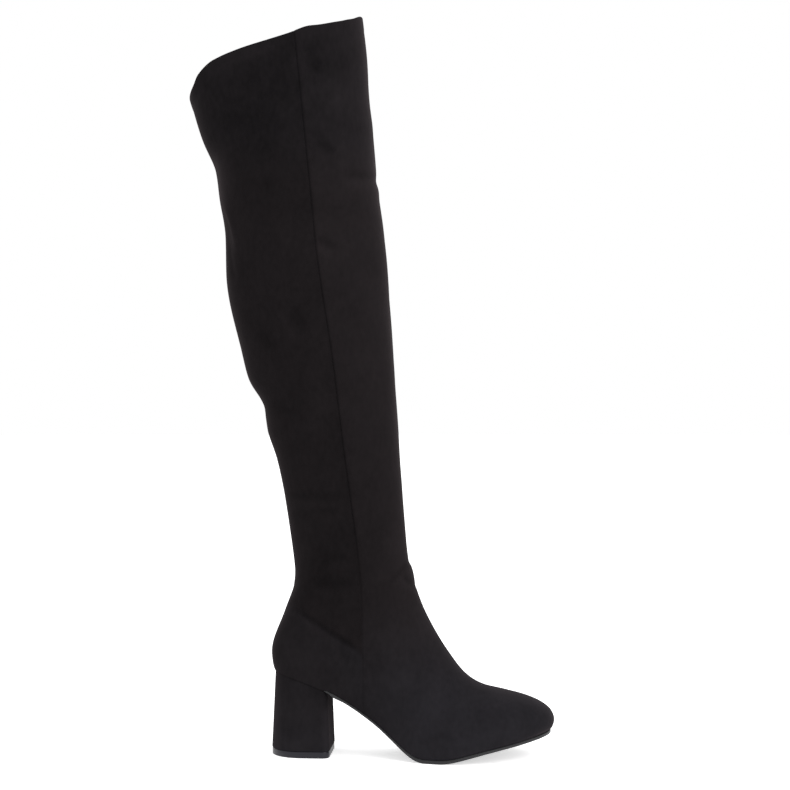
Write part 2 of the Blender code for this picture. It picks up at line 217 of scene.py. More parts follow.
# Creases, placed in the side view from back to front. The bow bends the line downwards, the reach is half
# the trough's width, the lip is a ridge along its lower edge, and a depth below zero makes a ridge of the
# trough. Along a crease both fade at its ends over a share of its length.
OUTER_SIDE, INNER_SIDE, BOTH = -1.0, 1.0, 0.0
SIDE_SIGN = {"outer": OUTER_SIDE, "inner": INNER_SIDE}
CREASE_FADE = 0.25
LIP_OFFSET = 1.9
LIP_REACH = 1.2
CREASE_COLUMNS = ("side", "from_x", "from_z", "to_x", "to_z", "bow", "reach", "depth", "lip")
CREASE_TABLE = np.array(
    [
        (BOTH, 15.0, 130.8, 84.0, 87.0, 0.0, 2.4, 1.2, 0.25),
        (BOTH, -20.0, 300.0, 24.0, 287.0, -2.0, 5.0, 0.35, 0.3),
        (BOTH, 100.0, 145.5, 117.0, 167.0, 0.5, 2.2, 0.7, 0.4),
        (BOTH, 109.0, 156.0, 124.0, 139.5, 0.0, 2.0, 0.7, 0.4),
        (BOTH, -43.0, 512.0, -36.5, 455.0, 0.0, 4.5, -0.9, 0.0),
        (BOTH, -39.5, 467.0, -25.0, 422.0, -1.9, 1.9, -1.1, 0.0),
        (BOTH, -37.0, 448.0, -28.0, 396.0, 0.0, 2.6, 0.7, 0.0),
        (BOTH, 62.0, 488.0, 100.0, 484.0, -2.0, 4.5, 0.8, 0.6),
        (OUTER_SIDE, 31.0, 597.0, 46.0, 569.0, 0.0, 6.0, 0.7, 0.4),
        (OUTER_SIDE, 42.0, 517.0, 58.0, 503.0, 0.0, 4.0, 0.6, 0.3),
        (OUTER_SIDE, 43.0, 437.0, 60.0, 426.0, 1.0, 3.5, 0.8, 0.6),
        (OUTER_SIDE, 55.0, 459.0, 67.0, 461.0, 0.0, 1.8, 0.4, 0.2),
        (OUTER_SIDE, 19.0, 382.0, 35.0, 354.0, 0.0, 5.0, 0.5, 0.4),
        (OUTER_SIDE, -9.0, 358.0, 9.0, 342.0, 0.0, 4.0, 0.5, 0.3),
        (BOTH, 8.0, 221.0, 70.0, 222.0, 1.0, 4.0, 0.55, 0.3),
        (OUTER_SIDE, 34.0, 209.5, 64.0, 209.0, 0.0, 3.0, 0.4, 0.2),
        (OUTER_SIDE, 14.0, 206.5, 38.0, 204.0, 0.0, 3.5, 0.45, 0.2),
        (BOTH, 36.0, 149.5, 72.0, 149.0, 1.0, 4.0, 0.5, 0.3),
        (OUTER_SIDE, 44.0, 170.0, 68.0, 169.0, 0.0, 4.0, 0.4, 0.2),
        (INNER_SIDE, 30.0, 548.0, 62.0, 540.0, 1.0, 5.0, 0.6, 0.3),
        (INNER_SIDE, -16.0, 392.0, 14.0, 380.0, -1.0, 5.0, 0.6, 0.4),
        (INNER_SIDE, 46.0, 330.0, 74.0, 322.0, 0.0, 4.0, 0.5, 0.3),
    ]
)

# Upper edge of the stiff counter behind the seam: a point of it, and how steeply it falls forward
COUNTER_EDGE = (20.0, 128.0)
COUNTER_SLOPE = 0.64
COUNTER_SOFTNESS = 8.0

# Patches of the nap's tone: place in the side view, reach along and up the boot, and how much lighter they
# lie. Some are brushed nap; others are painted highlight along the fold at the back edge and along the front
# edge, and painted shade above the counter's edge and along the toe's lower edge.
PATCH_COLUMNS = ("side", "x", "z", "reach_x", "reach_z", "lift")
NAP_AND_PAINTED_LIGHT_PATCHES = np.array(
    [
        (BOTH, -25.0, 535.0, 40.0, 32.0, -0.08),
        (BOTH, -38.0, 575.0, 18.0, 13.0, 0.08),
        (BOTH, 0.0, 588.0, 22.0, 12.0, -0.05),
        (OUTER_SIDE, 41.0, 586.0, 8.0, 18.0, -0.08),
        (BOTH, 60.0, 580.0, 22.0, 16.0, -0.12),
        (BOTH, 52.0, 610.0, 32.0, 18.0, -0.14),
        (BOTH, -18.0, 587.0, 24.0, 6.0, 0.12),
        # Painted highlight along the fold at the back edge
        (BOTH, -42.0, 484.0, 10.0, 22.0, 0.42),
        (BOTH, -24.0, 458.0, 14.0, 24.0, 0.05),
        (BOTH, 20.0, 558.0, 14.0, 36.0, -0.09),
        (BOTH, 4.0, 527.0, 14.0, 14.0, -0.09),
        (BOTH, 42.0, 532.0, 11.0, 40.0, -0.08),
        (BOTH, 65.0, 305.0, 14.0, 52.0, -0.09),
        (BOTH, 88.0, 182.0, 15.0, 72.0, -0.12),
        (BOTH, 68.0, 225.0, 14.0, 50.0, -0.06),
        (BOTH, 30.0, 117.0, 18.0, 10.0, -0.05),
        (BOTH, 90.0, 52.0, 16.0, 14.0, 0.06),
        (BOTH, 200.0, 48.0, 20.0, 8.0, 0.07),
        # Painted shade along the toe's lower edge
        (BOTH, 236.0, 21.0, 16.0, 5.0, -0.25),
        # Painted highlight along the front edge
        (BOTH, 111.0, 185.0, 9.0, 80.0, 0.08),
        (BOTH, 131.0, 116.0, 12.0, 24.0, 0.14),
        (OUTER_SIDE, 28.0, 297.0, 7.0, 20.0, -0.05),
        (OUTER_SIDE, 49.0, 510.0, 7.0, 6.0, -0.08),
        (OUTER_SIDE, 50.0, 431.0, 8.0, 5.0, -0.06),
        (OUTER_SIDE, -1.0, 505.0, 7.0, 9.0, -0.08),
        (OUTER_SIDE, 5.0, 480.0, 10.0, 7.0, -0.06),
        (OUTER_SIDE, 27.0, 368.0, 8.0, 10.0, -0.07),
        (OUTER_SIDE, -2.0, 350.0, 7.0, 8.0, -0.07),
        # Painted shade above the counter's edge
        (BOTH, 52.0, 158.0, 18.0, 38.0, -0.11),
        (BOTH, 222.0, 36.0, 16.0, 12.0, -0.10),
    ]
)


class BootSizes(bpy.types.PropertyGroup):
    """Sizes of the suede and its sewing."""

    wall: FloatProperty(
        name="Wall", description="Thickness of the backed suede", default=0.0018, unit="LENGTH"
    )
    lining: FloatProperty(
        name="Lining", description="Thickness of the lining cloth", default=0.0005, unit="LENGTH"
    )
    hem: FloatProperty(
        name="Hem", description="Depth of suede turned in at the collar", default=0.010, unit="LENGTH"
    )
    seam_groove: FloatProperty(
        name="Seam groove", description="Depth of the side seams", default=0.0009, unit="LENGTH"
    )
    seam_ridge: FloatProperty(
        name="Seam ridge",
        description="Height of the front panel over its seam allowance",
        default=0.0005,
        unit="LENGTH",
    )
    creases: FloatProperty(
        name="Creases", description="Strength of the creases", default=1.0, subtype="FACTOR"
    )
    sole_tuck: FloatProperty(
        name="Sole tuck", description="How far the sole is set in at the heel", default=0.0024, unit="LENGTH"
    )
    rib_pitch: FloatProperty(
        name="Rib pitch", description="Spacing of the ribs under the forefoot", default=0.004, unit="LENGTH"
    )
    rib_depth: FloatProperty(
        name="Rib depth", description="Depth of the ribs under the forefoot", default=0.0005, unit="LENGTH"
    )


COLOUR = {"subtype": "COLOR", "min": 0.0, "max": 1.0}


class BootColours(bpy.types.PropertyGroup):
    """Colours of the boot's materials."""

    # The suede's tone runs from the first colour to the second. Painted shade in troughs, seams and shaded
    # corners draws it towards the first, painted highlights on ridges and lit edges towards the second.
    dark_nap_and_painted_shade: FloatVectorProperty(
        name="Nap down",
        description="Suede where the nap lies away from the light",
        default=(0.0042, 0.0037, 0.0039),
        **COLOUR,
    )
    light_nap_and_painted_highlight: FloatVectorProperty(
        name="Nap up",
        description="Suede where the nap stands to the light",
        default=(0.0172, 0.0143, 0.0152),
        **COLOUR,
    )
    foot_tint: FloatVectorProperty(
        name="Foot tint",
        description="Cast of the suede on the foot and heel against the shaft's",
        default=(0.885, 1.0, 1.085),
        subtype="COLOR",
        min=0.0,
        max=2.0,
    )
    lining: FloatVectorProperty(
        name="Lining", description="Woven lining and sock", default=(0.016, 0.015, 0.016), **COLOUR
    )
    sole: FloatVectorProperty(
        name="Sole", description="Rubber of the sole", default=(0.008, 0.008, 0.009), **COLOUR
    )
    lift: FloatVectorProperty(
        name="Top piece", description="Hard layer under the heel", default=(0.0052, 0.0047, 0.0088), **COLOUR
    )
    floor: FloatVectorProperty(
        name="Floor", description="Pale studio floor", default=(0.92, 0.92, 0.92), **COLOUR
    )


class BootStage(bpy.types.PropertyGroup):
    """Camera and light."""

    distance: FloatProperty(
        name="Distance", description="Camera to the boot's middle plane", default=1.5, unit="LENGTH"
    )
    height: FloatProperty(
        name="Height", description="Camera above the floor", default=0.305, unit="LENGTH"
    )
    aim_x: FloatProperty(
        name="Aim", description="Where the camera points along the boot", default=0.02015, unit="LENGTH"
    )
    azimuth: FloatProperty(
        name="Azimuth",
        description="Camera's turn from the outer side towards the toe",
        default=math.radians(4.0),
        subtype="ANGLE",
    )
    view_width: FloatProperty(
        name="View width",
        description="Width of the picture at the boot's middle plane",
        default=0.6715,
        unit="LENGTH",
    )
    sky: FloatProperty(name="Sky", description="Strength of the white surround", default=1.0)
    glow: FloatProperty(name="Floor glow", description="Light that the floor gives by itself", default=0.55)
    key: FloatProperty(
        name="Key", description="Large soft light at the front", default=24.0, unit="POWER"
    )
    top: FloatProperty(name="Top", description="Soft light overhead", default=12.0, unit="POWER")


def smooth(at, stations, values):
    """Monotone cubic curve through the stations: it never overshoots, so a flat stretch stays flat."""
    step = np.diff(stations)
    rise = np.diff(values) / step
    before, after = rise[:-1], rise[1:]
    same_way = before * after > 0
    near, far = step[:-1] + 2 * step[1:], 2 * step[:-1] + step[1:]
    slope = np.zeros(len(stations))
    slope[0], slope[-1] = rise[0], rise[-1]
    mean = (near + far)[same_way] / (near[same_way] / before[same_way] + far[same_way] / after[same_way])
    slope[1:-1][same_way] = mean
    at = np.clip(at, stations[0], stations[-1])
    i = np.clip(np.searchsorted(stations, at) - 1, 0, len(step) - 1)
    s = (at - stations[i]) / step[i]
    start = values[i] + s * s * (3 - 2 * s) * (values[i + 1] - values[i])
    return start + step[i] * s * (1 - s) * (slope[i] * (1 - s) - slope[i + 1] * s)


def named_rows(columns, table):
    """Rows of a table, each with its values by column name."""
    return [dict(zip(columns, row)) for row in table]


def ease(share):
    """Smooth step from 0 to 1."""
    share = np.clip(share, 0.0, 1.0)
    return share * share * (3 - 2 * share)


def ramp(at, start, length):
    """Smooth step from 0 at the start to 1 a length further on. A length below zero runs it backwards."""
    return ease((at - start) / length)


def blend(first, second, share):
    """Straight mix of two values, the first at share 0 and the second at share 1."""
    return first + (second - first) * share


def hump(distance, reach):
    """Gauss curve: 1 on the line, fading with distance."""
    return np.exp(-((distance / reach) ** 2))


def swing(x):
    """Sideways lean of the forefoot's centre line towards the big toe."""
    return TOE_SWING * ramp(x, BALL, SOLE_TIP - BALL)


def toe_close(x, inset=0.0):
    """Share of the width left as the almond toe closes on its tip: a superellipse."""
    along = np.clip((x - (SOLE_TIP - inset - TOE_ROUND)) / TOE_ROUND, 0.0, 1.0)
    return (1 - along**TOE_POWER) ** (1 / TOE_POWER)


def heel_close(x, inset=0.0):
    """Share of the width left as the round heel closes on the heel point: an ellipse."""
    along = np.clip((SOLE_REAR + inset + HEEL_ROUND - x) / HEEL_ROUND, 0.0, 1.0)
    return np.sqrt(1 - along**2)


def feather_half_width(x, side):
    """Half-width of the upper's lower edge in plan."""
    return smooth(x, SOLE["x"], SOLE[side]) * toe_close(x) * heel_close(x)


def sole_underside(x):
    """Height of the outsole's underside: seat, arch, flat tread and toe spring."""
    return smooth(x, SOLE["x"], SOLE["underside"])


def sole_top(x):
    """Height of the outsole's upper face."""
    return sole_underside(x) + smooth(x, SOLE["x"], SOLE["thick"])


def at_seat(x):
    """1 over the heel seat, 0 ahead of the heel's breast."""
    return 1 - ramp(x, *SEAT_END)


def feather_line(x):
    """Height of the upper's lower edge: on the sole, and down on the heel block where it laps the seat."""
    return blend(sole_top(x), sole_underside(x) - GAP, at_seat(x)) + FEATHER_GAP


def lower_line(section):
    """The sole's edge from toe to heel point, then the back of heel, ankle and leg."""
    x = smooth(section, LINE["section"], LINE["low_x"])
    on_sole = LINE["section"] <= HEEL_SECTION
    z = smooth(section, LINE["section"], np.where(on_sole, feather_line(LINE["low_x"]), LINE["low_z"]))
    return x, np.where(section <= HEEL_SECTION, feather_line(x), z)


def upper_line(section):
    """Nose, vamp, instep and shin."""
    return (
        smooth(section, LINE["section"], LINE["high_x"]),
        smooth(section, LINE["section"], LINE["high_z"]),
    )


def section_at(x, z, halvings=40):
    """Section that passes through a side-view point, and the point's share of the way up it.

    Each section line parts the toe's side of the boot from the collar's, so it is found by halving.
    """
    low, high = np.zeros_like(x), np.full_like(x, LAST_SECTION)
    for _ in range(halvings):
        middle = (low + high) / 2
        (ax, az), (bx, bz) = lower_line(middle), upper_line(middle)
        beyond = (bx - ax) * (z - az) > (bz - az) * (x - ax)
        low, high = np.where(beyond, middle, low), np.where(beyond, high, middle)
    section = (low + high) / 2
    (ax, az), (bx, bz) = lower_line(section), upper_line(section)
    length = np.maximum((bx - ax) ** 2 + (bz - az) ** 2, TINY)
    share = ((x - ax) * (bx - ax) + (z - az) * (bz - az)) / length
    return section, np.clip(share, 0.0, 1.0)


def half_width(x, z, side):
    """Half-width of the upper at a side-view point.

    Above the widest level it is a quarter superellipse that closes on the upper line. Below, it narrows in
    the same way to the sole's edge, or closes on the back line.
    """
    section, share = section_at(x, z)
    low_x, _ = lower_line(section)
    feather = np.where(section < HEEL_SECTION, feather_half_width(low_x, side), 0.0)
    widest = smooth(section, GIRTH["section"], GIRTH[side]) * toe_close(low_x)
    level = smooth(section, GIRTH["section"], GIRTH["level"])
    crown = smooth(section, GIRTH["section"], GIRTH["crown"])
    base = smooth(section, GIRTH["section"], GIRTH["base"])
    up = np.clip((share - level) / (1 - level), 0.0, 1.0)
    down = np.clip((level - share) / level, 0.0, 1.0)
    above = widest * (1 - up**crown) ** (1 / crown)
    below = (feather**base + (widest**base - feather**base) * (1 - down**base)) ** (1 / base)
    return np.where(share > level, above, below)


def collar_line(x):
    """Height of the collar's edge in the side view: a slope, turned up in front, its back corner rounded."""
    rear_x, front_x = COLLAR_REAR[0], COLLAR_FRONT[0]
    turned_up = COLLAR_FRONT_RISE * np.clip((x - front_x) / COLLAR_FRONT_REACH + 1, 0.0, 1.0) ** 2
    corner = np.clip((rear_x + COLLAR_CORNER_LENGTH - x) / COLLAR_CORNER_LENGTH, 0.0, 1.0)
    drop = 1 - (1 - corner**COLLAR_CORNER_POWER) ** (1 / COLLAR_CORNER_POWER)
    return COLLAR_SLOPE * (x - front_x) + turned_up - COLLAR_CORNER_DROP * drop


ANKLE_RING = 20 / 46
COLLAR_BLEND = 3.0


def ring_ends(ring):
    """Side-view ends of a ring: the feather edge is ring 0, the collar is ring 1.

    Also how much of the sole's bow and of the collar's the ring takes.
    """
    foot = np.clip(ring / ANKLE_RING, 0.0, 1.0)
    reach = COLLAR_SECTION - ANKLE_SECTION
    shaft = np.clip((ring - ANKLE_RING) / (1 - ANKLE_RING), 0.0, 1.0) * reach
    rear = lower_line(HEEL_SECTION + foot * (ANKLE_SECTION - HEEL_SECTION) + shaft)
    front = upper_line(foot * ANKLE_SECTION + shaft)
    return rear, front, 1 - ease(foot), ramp(shaft, reach - COLLAR_BLEND, COLLAR_BLEND)


def ring_height(x, ring):
    """Height of a ring over x: a straight run between its ends, bowed as the sole and the collar are."""
    (rear_x, rear_z), (front_x, front_z), as_sole, as_collar = ring_ends(ring)
    along = (x - rear_x) / (front_x - rear_x)

    def bow(line):
        return line(x) - blend(line(rear_x), line(front_x), along)

    return blend(rear_z, front_z, along) + as_sole * bow(feather_line) + as_collar * bow(collar_line)


def seam_crossing(ring, rounds=40):
    """Where the side seam crosses a ring in the side view, closed in on by halving the step in height."""
    z = ring_height(np.full_like(ring, SEAM["x"].mean()), ring)
    for _ in range(rounds):
        x = smooth(z, SEAM["z"], SEAM["x"])
        z = (z + ring_height(x, ring)) / 2
    return x


# Columns of the upper's grid: their spread behind and ahead of the seam, and the close steps beside it
BACK_SPREAD = 0.9
FRONT_SPREAD = 1.15
SEAM_SPAN = 8.0
SEAM_STEPS = np.array([0.35, 0.7, 1.1, 1.6, 2.3, 3.2, 4.5, 6.0])


def upper_grid(ring, back_columns, front_columns):
    """Smooth outer face of the upper as a grid of rings, each once round the boot from its back.

    A ring goes by the outer side first. It runs over x from the back line to the front line, with columns
    close together at both ends and at the seam. Its height comes from ring_height and its half-width from
    half_width. Also returned are each point's side, -1 outer and 1 inner, and its distance from the seam,
    ahead of it above zero.
    """
    ring = ring[:, None]
    (rear_x, _), (front_x, _), _, _ = ring_ends(ring)
    seam_x = seam_crossing(ring)
    back = 1 - np.cos(np.linspace(0.0, math.pi / 2, back_columns + 1)) ** BACK_SPREAD
    front = np.sin(np.linspace(0.0, math.pi / 2, front_columns + 1)) ** FRONT_SPREAD
    behind = blend(rear_x, seam_x - SEAM_SPAN, back)
    ahead = blend(seam_x + SEAM_SPAN, front_x, front)
    x = np.hstack([behind, seam_x - SEAM_STEPS[::-1], seam_x, seam_x + SEAM_STEPS, ahead])
    z = ring_height(x, ring)
    halves = []
    for side, sign in SIDE_SIGN.items():
        half = np.stack([x, swing(x) + sign * half_width(x, z, side), z], axis=-1)
        step = np.linalg.norm(np.diff(half, axis=1), axis=-1)
        arc = np.concatenate([np.zeros_like(ring), np.cumsum(step, axis=1)], axis=1)
        from_seam = arc - arc[:, [back_columns + 1 + len(SEAM_STEPS)]]
        halves.append((half, np.full(x.shape, sign), from_seam))
    return tuple(np.concatenate([a, b[:, -2:0:-1]], axis=1) for a, b in zip(*halves))


def unit(vectors):
    """Vectors scaled to length 1."""
    return vectors / np.maximum(np.linalg.norm(vectors, axis=-1, keepdims=True), TINY)


def grid_normals(points):
    """Unit normals of a grid that closes on itself along its second axis: cross product of its tangents."""
    around = np.roll(points, -1, axis=1) - np.roll(points, 1, axis=1)
    along = np.gradient(points, axis=0)
    return unit(np.cross(around, along))


def arc_from_start(points):
    """Length along each column of a grid, from its first row."""
    step = np.linalg.norm(np.diff(points, axis=0), axis=-1)
    return np.concatenate([np.zeros((1, points.shape[1])), np.cumsum(step, axis=0)], axis=0)


def crease_fields(x, z, side):
    """Summed troughs and ridges of the crease table, both in millimetres above zero.

    Across a crease the trough is a Gauss curve of the distance to its bowed line, and the lip another one
    set off to its lower side. The bow is a parabola.
    """
    trough, ridge = np.zeros_like(x), np.zeros_like(x)
    for at in named_rows(CREASE_COLUMNS, CREASE_TABLE):
        run = np.array([at["to_x"] - at["from_x"], at["to_z"] - at["from_z"]])
        length = np.hypot(*run)
        run = run / length
        dx, dz = x - at["from_x"], z - at["from_z"]
        along = (dx * run[0] + dz * run[1]) / length
        below = dx * run[1] - dz * run[0] - at["bow"] * 4 * along * (1 - along)
        fade = ease(along / CREASE_FADE) * ease((1 - along) / CREASE_FADE)
        fade = fade * ((at["side"] == BOTH) | (side == at["side"]))
        middle = fade * hump(below, at["reach"]) * abs(at["depth"])
        if at["depth"] > 0:
            trough += middle
        else:
            ridge += middle
        ridge += fade * at["lip"] * hump(below - LIP_OFFSET * at["reach"], LIP_REACH * at["reach"])
    return trough, ridge


# Swell of the soft shaft: each wave's measure up and along the boot, its shift between the sides, its weight
SWELL_COLUMNS = ("up", "along", "shift", "weight")
SWELL_TABLE = (
    (17.0, 31.0, 2.0, 1.0),
    (29.0, -23.0, 1.0, 1.0),
    (11.0, 13.0, -1.0, 0.7),
)
SWELL_HEIGHT = 0.16
SWELL_FOOT_END = (120.0, 80.0)
SWELL_COLLAR_END = (600.0, -60.0)


def slack(x, z, side):
    """Slow swell of the shaft, in millimetres: three crossing sine waves that die out at foot and collar."""
    wave = np.zeros_like(x)
    for at in named_rows(SWELL_COLUMNS, SWELL_TABLE):
        wave += at["weight"] * np.sin(z / at["up"] + x / at["along"] + at["shift"] * side)
    return SWELL_HEIGHT * wave * ramp(z, *SWELL_FOOT_END) * ramp(z, *SWELL_COLLAR_END)


def foot_share(x, z, from_seam, ankle):
    """1 on the foot, 0 on the shaft.

    Behind the seam the counter's edge parts them. Ahead of it the share grows down the ankle's run.
    """
    edge = COUNTER_EDGE[1] - COUNTER_SLOPE * (x - COUNTER_EDGE[0])
    counter = ramp(z, edge + COUNTER_SOFTNESS / 2, -COUNTER_SOFTNESS)
    return np.where(from_seam < 0, counter, ramp(z, *ankle))


COOL_ANKLE_RUN = (150.0, -110.0)
COOL_COUNTER = 0.35
COOL_TOE_RUN = (30.0, 110.0)
COOL_COLLAR = 0.3
COOL_COLLAR_RUN = (470.0, 60.0)


def cool_field(x, z, from_seam):
    """Share of the cooler cast: a third on the counter, more towards the toe, and a little at the collar."""
    foot = foot_share(x, z, from_seam, COOL_ANKLE_RUN) * blend(COOL_COUNTER, 1.0, ramp(x, *COOL_TOE_RUN))
    return foot + COOL_COLLAR * ramp(z, *COOL_COLLAR_RUN)


# Nap with painted light and shade, 0 lying away from the light and 1 standing to it: the panels' tones, then
# what lifts or drops them, much of it painted shade and painted highlight. A pair of seam values holds the
# shaft's and the foot's.
NAP_ANKLE_RUN = (140.0, -95.0)
BACK_PANEL_NAP = 0.24
PANEL_STEP = 0.048
PANEL_STEP_REACH = 1.2
PANEL_LIFT = 0.05
PANEL_LIFT_RUN = (0.0, 10.0)
COUNTER_NAP = 0.38
TOE_LIFT = 0.32
TOE_LIFT_RUN = (60.0, 70.0)
HEM_LIFT = 0.05
HEM_LIFT_RUN = (11.0, -3.0)
# Painted shade along the side seam's groove for shaft and foot: strength, place and reach, faded near the
# rim and fainter low down
SEAM_PAINTED_SHADE = (0.05, 0.08)
SEAM_SHADE_AT = -0.4
SEAM_SHADE_REACH = (1.3, 1.9)
SEAM_RIM_RUN = (8.0, 26.0)
SEAM_FAINT = 0.45
SEAM_FAINT_END = (115.0, 70.0)
# Painted shade along the upper's lower edge where it laps the heel seat
SEAT_PAINTED_SHADE = 0.25
SEAT_SHADE_REACH = 1.0
# Painted shade in the creases' troughs and painted highlight on their ridges
TROUGH_PAINTED_SHADE = 0.15
RIDGE_PAINTED_HIGHLIGHT = 0.16


def nap_and_painted_light_field(x, z, side, from_seam, below_rim, trough, ridge):
    """How much the nap catches the light, 0 to 1, with painted light and shade laid over it.

    It goes by panel, with a step at the seam, and by patch, a Gauss curve of the distance in reaches; some
    patches are brushed nap, others painted highlights and painted shade. The hem is lighter. Ridges carry a
    painted highlight, and the seams, the troughs and the edge over the heel seat carry painted shade.
    """
    on_foot = foot_share(x, z, from_seam, NAP_ANKLE_RUN)
    shaft = BACK_PANEL_NAP + PANEL_STEP * (1 + np.tanh(from_seam / PANEL_STEP_REACH))
    shaft = shaft + PANEL_LIFT * ramp(from_seam, *PANEL_LIFT_RUN)
    foot = COUNTER_NAP + TOE_LIFT * ramp(x, *TOE_LIFT_RUN)
    nap_and_painted_light = blend(shaft, foot, on_foot) + HEM_LIFT * ramp(below_rim, *HEM_LIFT_RUN)
    for at in named_rows(PATCH_COLUMNS, NAP_AND_PAINTED_LIGHT_PATCHES):
        here = (at["side"] == BOTH) | (side == at["side"])
        reach = np.hypot((x - at["x"]) / at["reach_x"], (z - at["z"]) / at["reach_z"])
        nap_and_painted_light = nap_and_painted_light + at["lift"] * here * hump(reach, 1.0)
    # Painted shade along the seam's groove
    seam = blend(*SEAM_PAINTED_SHADE, on_foot) * hump(from_seam - SEAM_SHADE_AT, blend(*SEAM_SHADE_REACH, on_foot))
    seam = seam * ramp(below_rim, *SEAM_RIM_RUN) * blend(SEAM_FAINT, 1.0, ramp(z, *SEAM_FAINT_END))
    # Painted shade along the upper's lower edge over the heel seat
    seat = SEAT_PAINTED_SHADE * at_seat(x) * hump(z - feather_line(x), SEAT_SHADE_REACH)
    # Painted shade in the crease troughs and painted highlight on their ridges
    return nap_and_painted_light - TROUGH_PAINTED_SHADE * trough + RIDGE_PAINTED_HIGHLIGHT * ridge - seam - seat


RING_ROWS = {"foot": 130, "shaft": 190}
BACK_COLUMNS = 40
FRONT_COLUMNS = 54
RIM_STEPS = 7
RIM_RING = 0.99906
INNER_ROWS = slice(-4, None, -9)


def upper_rows():
    """Ring values of the upper's rows, even over foot and over shaft, ending a rim's radius short."""
    foot = np.linspace(0.0, ANKLE_RING, RING_ROWS["foot"], endpoint=False)
    shaft = np.linspace(ANKLE_RING, RIM_RING, RING_ROWS["shaft"])
    return np.concatenate([foot, shaft])


# How the collar's soft edge stands off its cut in the side view: ramps from a start over a length, and humps
# round a middle with a reach, each with its rise
COLLAR_RAMPS = ((10.0, -35.0, 0.9), (-59.5, -5.0, -3.0))
COLLAR_HUMPS = ((-43.5, 5.0, -0.4), (34.0, 9.0, 1.6), (72.0, 4.0, -0.9))


def collar_rise(x):
    """How far the collar's soft edge stands off its cut, in millimetres: the sum of its ramps and humps."""
    rise = np.zeros_like(x)
    for start, length, height in COLLAR_RAMPS:
        rise += height * ramp(x, start, length)
    for middle, reach, height in COLLAR_HUMPS:
        rise += height * hump(x - middle, reach)
    return rise


# Relief of the upper: the seam, shallower on the firm foot, the hem's step and stitched groove, and the edge
# that rolls in to the sole, further at the toe
SEAM_FIRM = 0.4
SEAM_FIRM_END = (110.0, 80.0)
SEAM_GROOVE_REACH = 0.75
SEAM_RIDGE_AT = 2.6
SEAM_RIDGE_REACH = 2.2
HEM_STEP = 0.22
HEM_STEP_RUN = (1.0, -2.0)
HEM_GROOVE = 0.18
HEM_GROOVE_AT = 0.6
HEM_GROOVE_REACH = 0.7
FEATHER_ROLL = 0.1
FEATHER_ROLL_REACH = 1.1
TOE_ROLL = 1.1
TOE_ROLL_REACH = 2.4
TOE_ROLL_RUN = (205.0, 30.0)
COLLAR_RISE_RUN = (14.0, -14.0)


def suede_grid(sizes):
    """The upper's skin: outer face with seams, creases and hem, round rim, then the inner wall back down.

    Outer points move along the normal by the sum of their reliefs. The rim is half a circle from the outer
    face to the inner one, and the inner wall is the smooth face set in by the wall's thickness. Rows close
    on themselves at the sole. The nap's tone with its painted light and shade, and the share of the foot's
    cooler cast, go with each point.
    """
    smooth_face, side, from_seam = upper_grid(upper_rows(), BACK_COLUMNS, FRONT_COLUMNS)
    normal = grid_normals(smooth_face)
    x, z = smooth_face[..., 0], smooth_face[..., 2]
    rise = arc_from_start(smooth_face)
    below_rim = rise[-1] - rise
    trough, ridge = crease_fields(x, z, side)
    relief = sizes.creases * (ridge - trough + slack(x, z, side))
    seam = sizes.seam_ridge / MM * hump(from_seam - SEAM_RIDGE_AT, SEAM_RIDGE_REACH)
    seam = seam - sizes.seam_groove / MM * hump(from_seam, SEAM_GROOVE_REACH)
    relief += seam * blend(SEAM_FIRM, 1.0, ramp(z, *SEAM_FIRM_END))
    below_hem = below_rim - sizes.hem / MM
    relief += HEM_STEP * ramp(below_hem, *HEM_STEP_RUN)
    relief -= HEM_GROOVE * hump(below_hem - HEM_GROOVE_AT, HEM_GROOVE_REACH)
    roll = FEATHER_ROLL * hump(rise, FEATHER_ROLL_REACH)
    roll += TOE_ROLL * hump(rise, TOE_ROLL_REACH) * ramp(x, *TOE_ROLL_RUN)
    level = unit(normal * (1.0, 1.0, 0.0))
    outer = smooth_face + relief[..., None] * normal - roll[..., None] * level
    outer[..., 2] += collar_rise(x) * ramp(below_rim, *COLLAR_RISE_RUN)
    nap_and_painted_light = nap_and_painted_light_field(x, z, side, from_seam, below_rim, sizes.creases * trough, sizes.creases * ridge)
    cool = cool_field(x, z, from_seam)

    wall = sizes.wall / MM
    up = unit(outer[-1] - outer[-2])
    turn = np.linspace(0.0, math.pi, RIM_STEPS + 1)[1:, None, None]
    rim = outer[-1] + wall / 2 * (np.sin(turn) * up - (1 - np.cos(turn)) * normal[-1])
    inner = (smooth_face - wall * normal)[INNER_ROWS]
    grid = np.concatenate([outer, rim, inner])
    inside = len(rim) + len(inner)

    def with_inside(value):
        return np.concatenate([value, np.repeat(value[-1:], inside, axis=0)])

    return grid, {"nap_and_painted_light": with_inside(nap_and_painted_light), "cool": with_inside(cool)}


LINING_RINGS = np.linspace(0.022, 0.985, 110)
LINING_BACK_COLUMNS = 18
LINING_FRONT_COLUMNS = 24
LINING_CLEARANCE = 0.15


def lining_grid(sizes):
    """The lining: a thin cloth tube inside the suede, from under the turned-in hem down to the insole.

    Its two faces are the upper's smooth face set in by the wall and a clearance, and by the cloth as well.
    """
    face, _, _ = upper_grid(LINING_RINGS, LINING_BACK_COLUMNS, LINING_FRONT_COLUMNS)
    normal = grid_normals(face)
    near = sizes.wall / MM + LINING_CLEARANCE
    far = near + sizes.lining / MM
    return np.concatenate([(face - far * normal)[::-1], face - near * normal])


def end_stations(start, end, count):
    """Places from start to end by a cosine, close together at both ends where an outline closes round."""
    return blend(start, end, (1 - np.cos(np.linspace(0.0, math.pi, count))) / 2)


TOE_TUCK_SHARE = 0.5
TOE_TUCK_RUN = (195.0, 30.0)


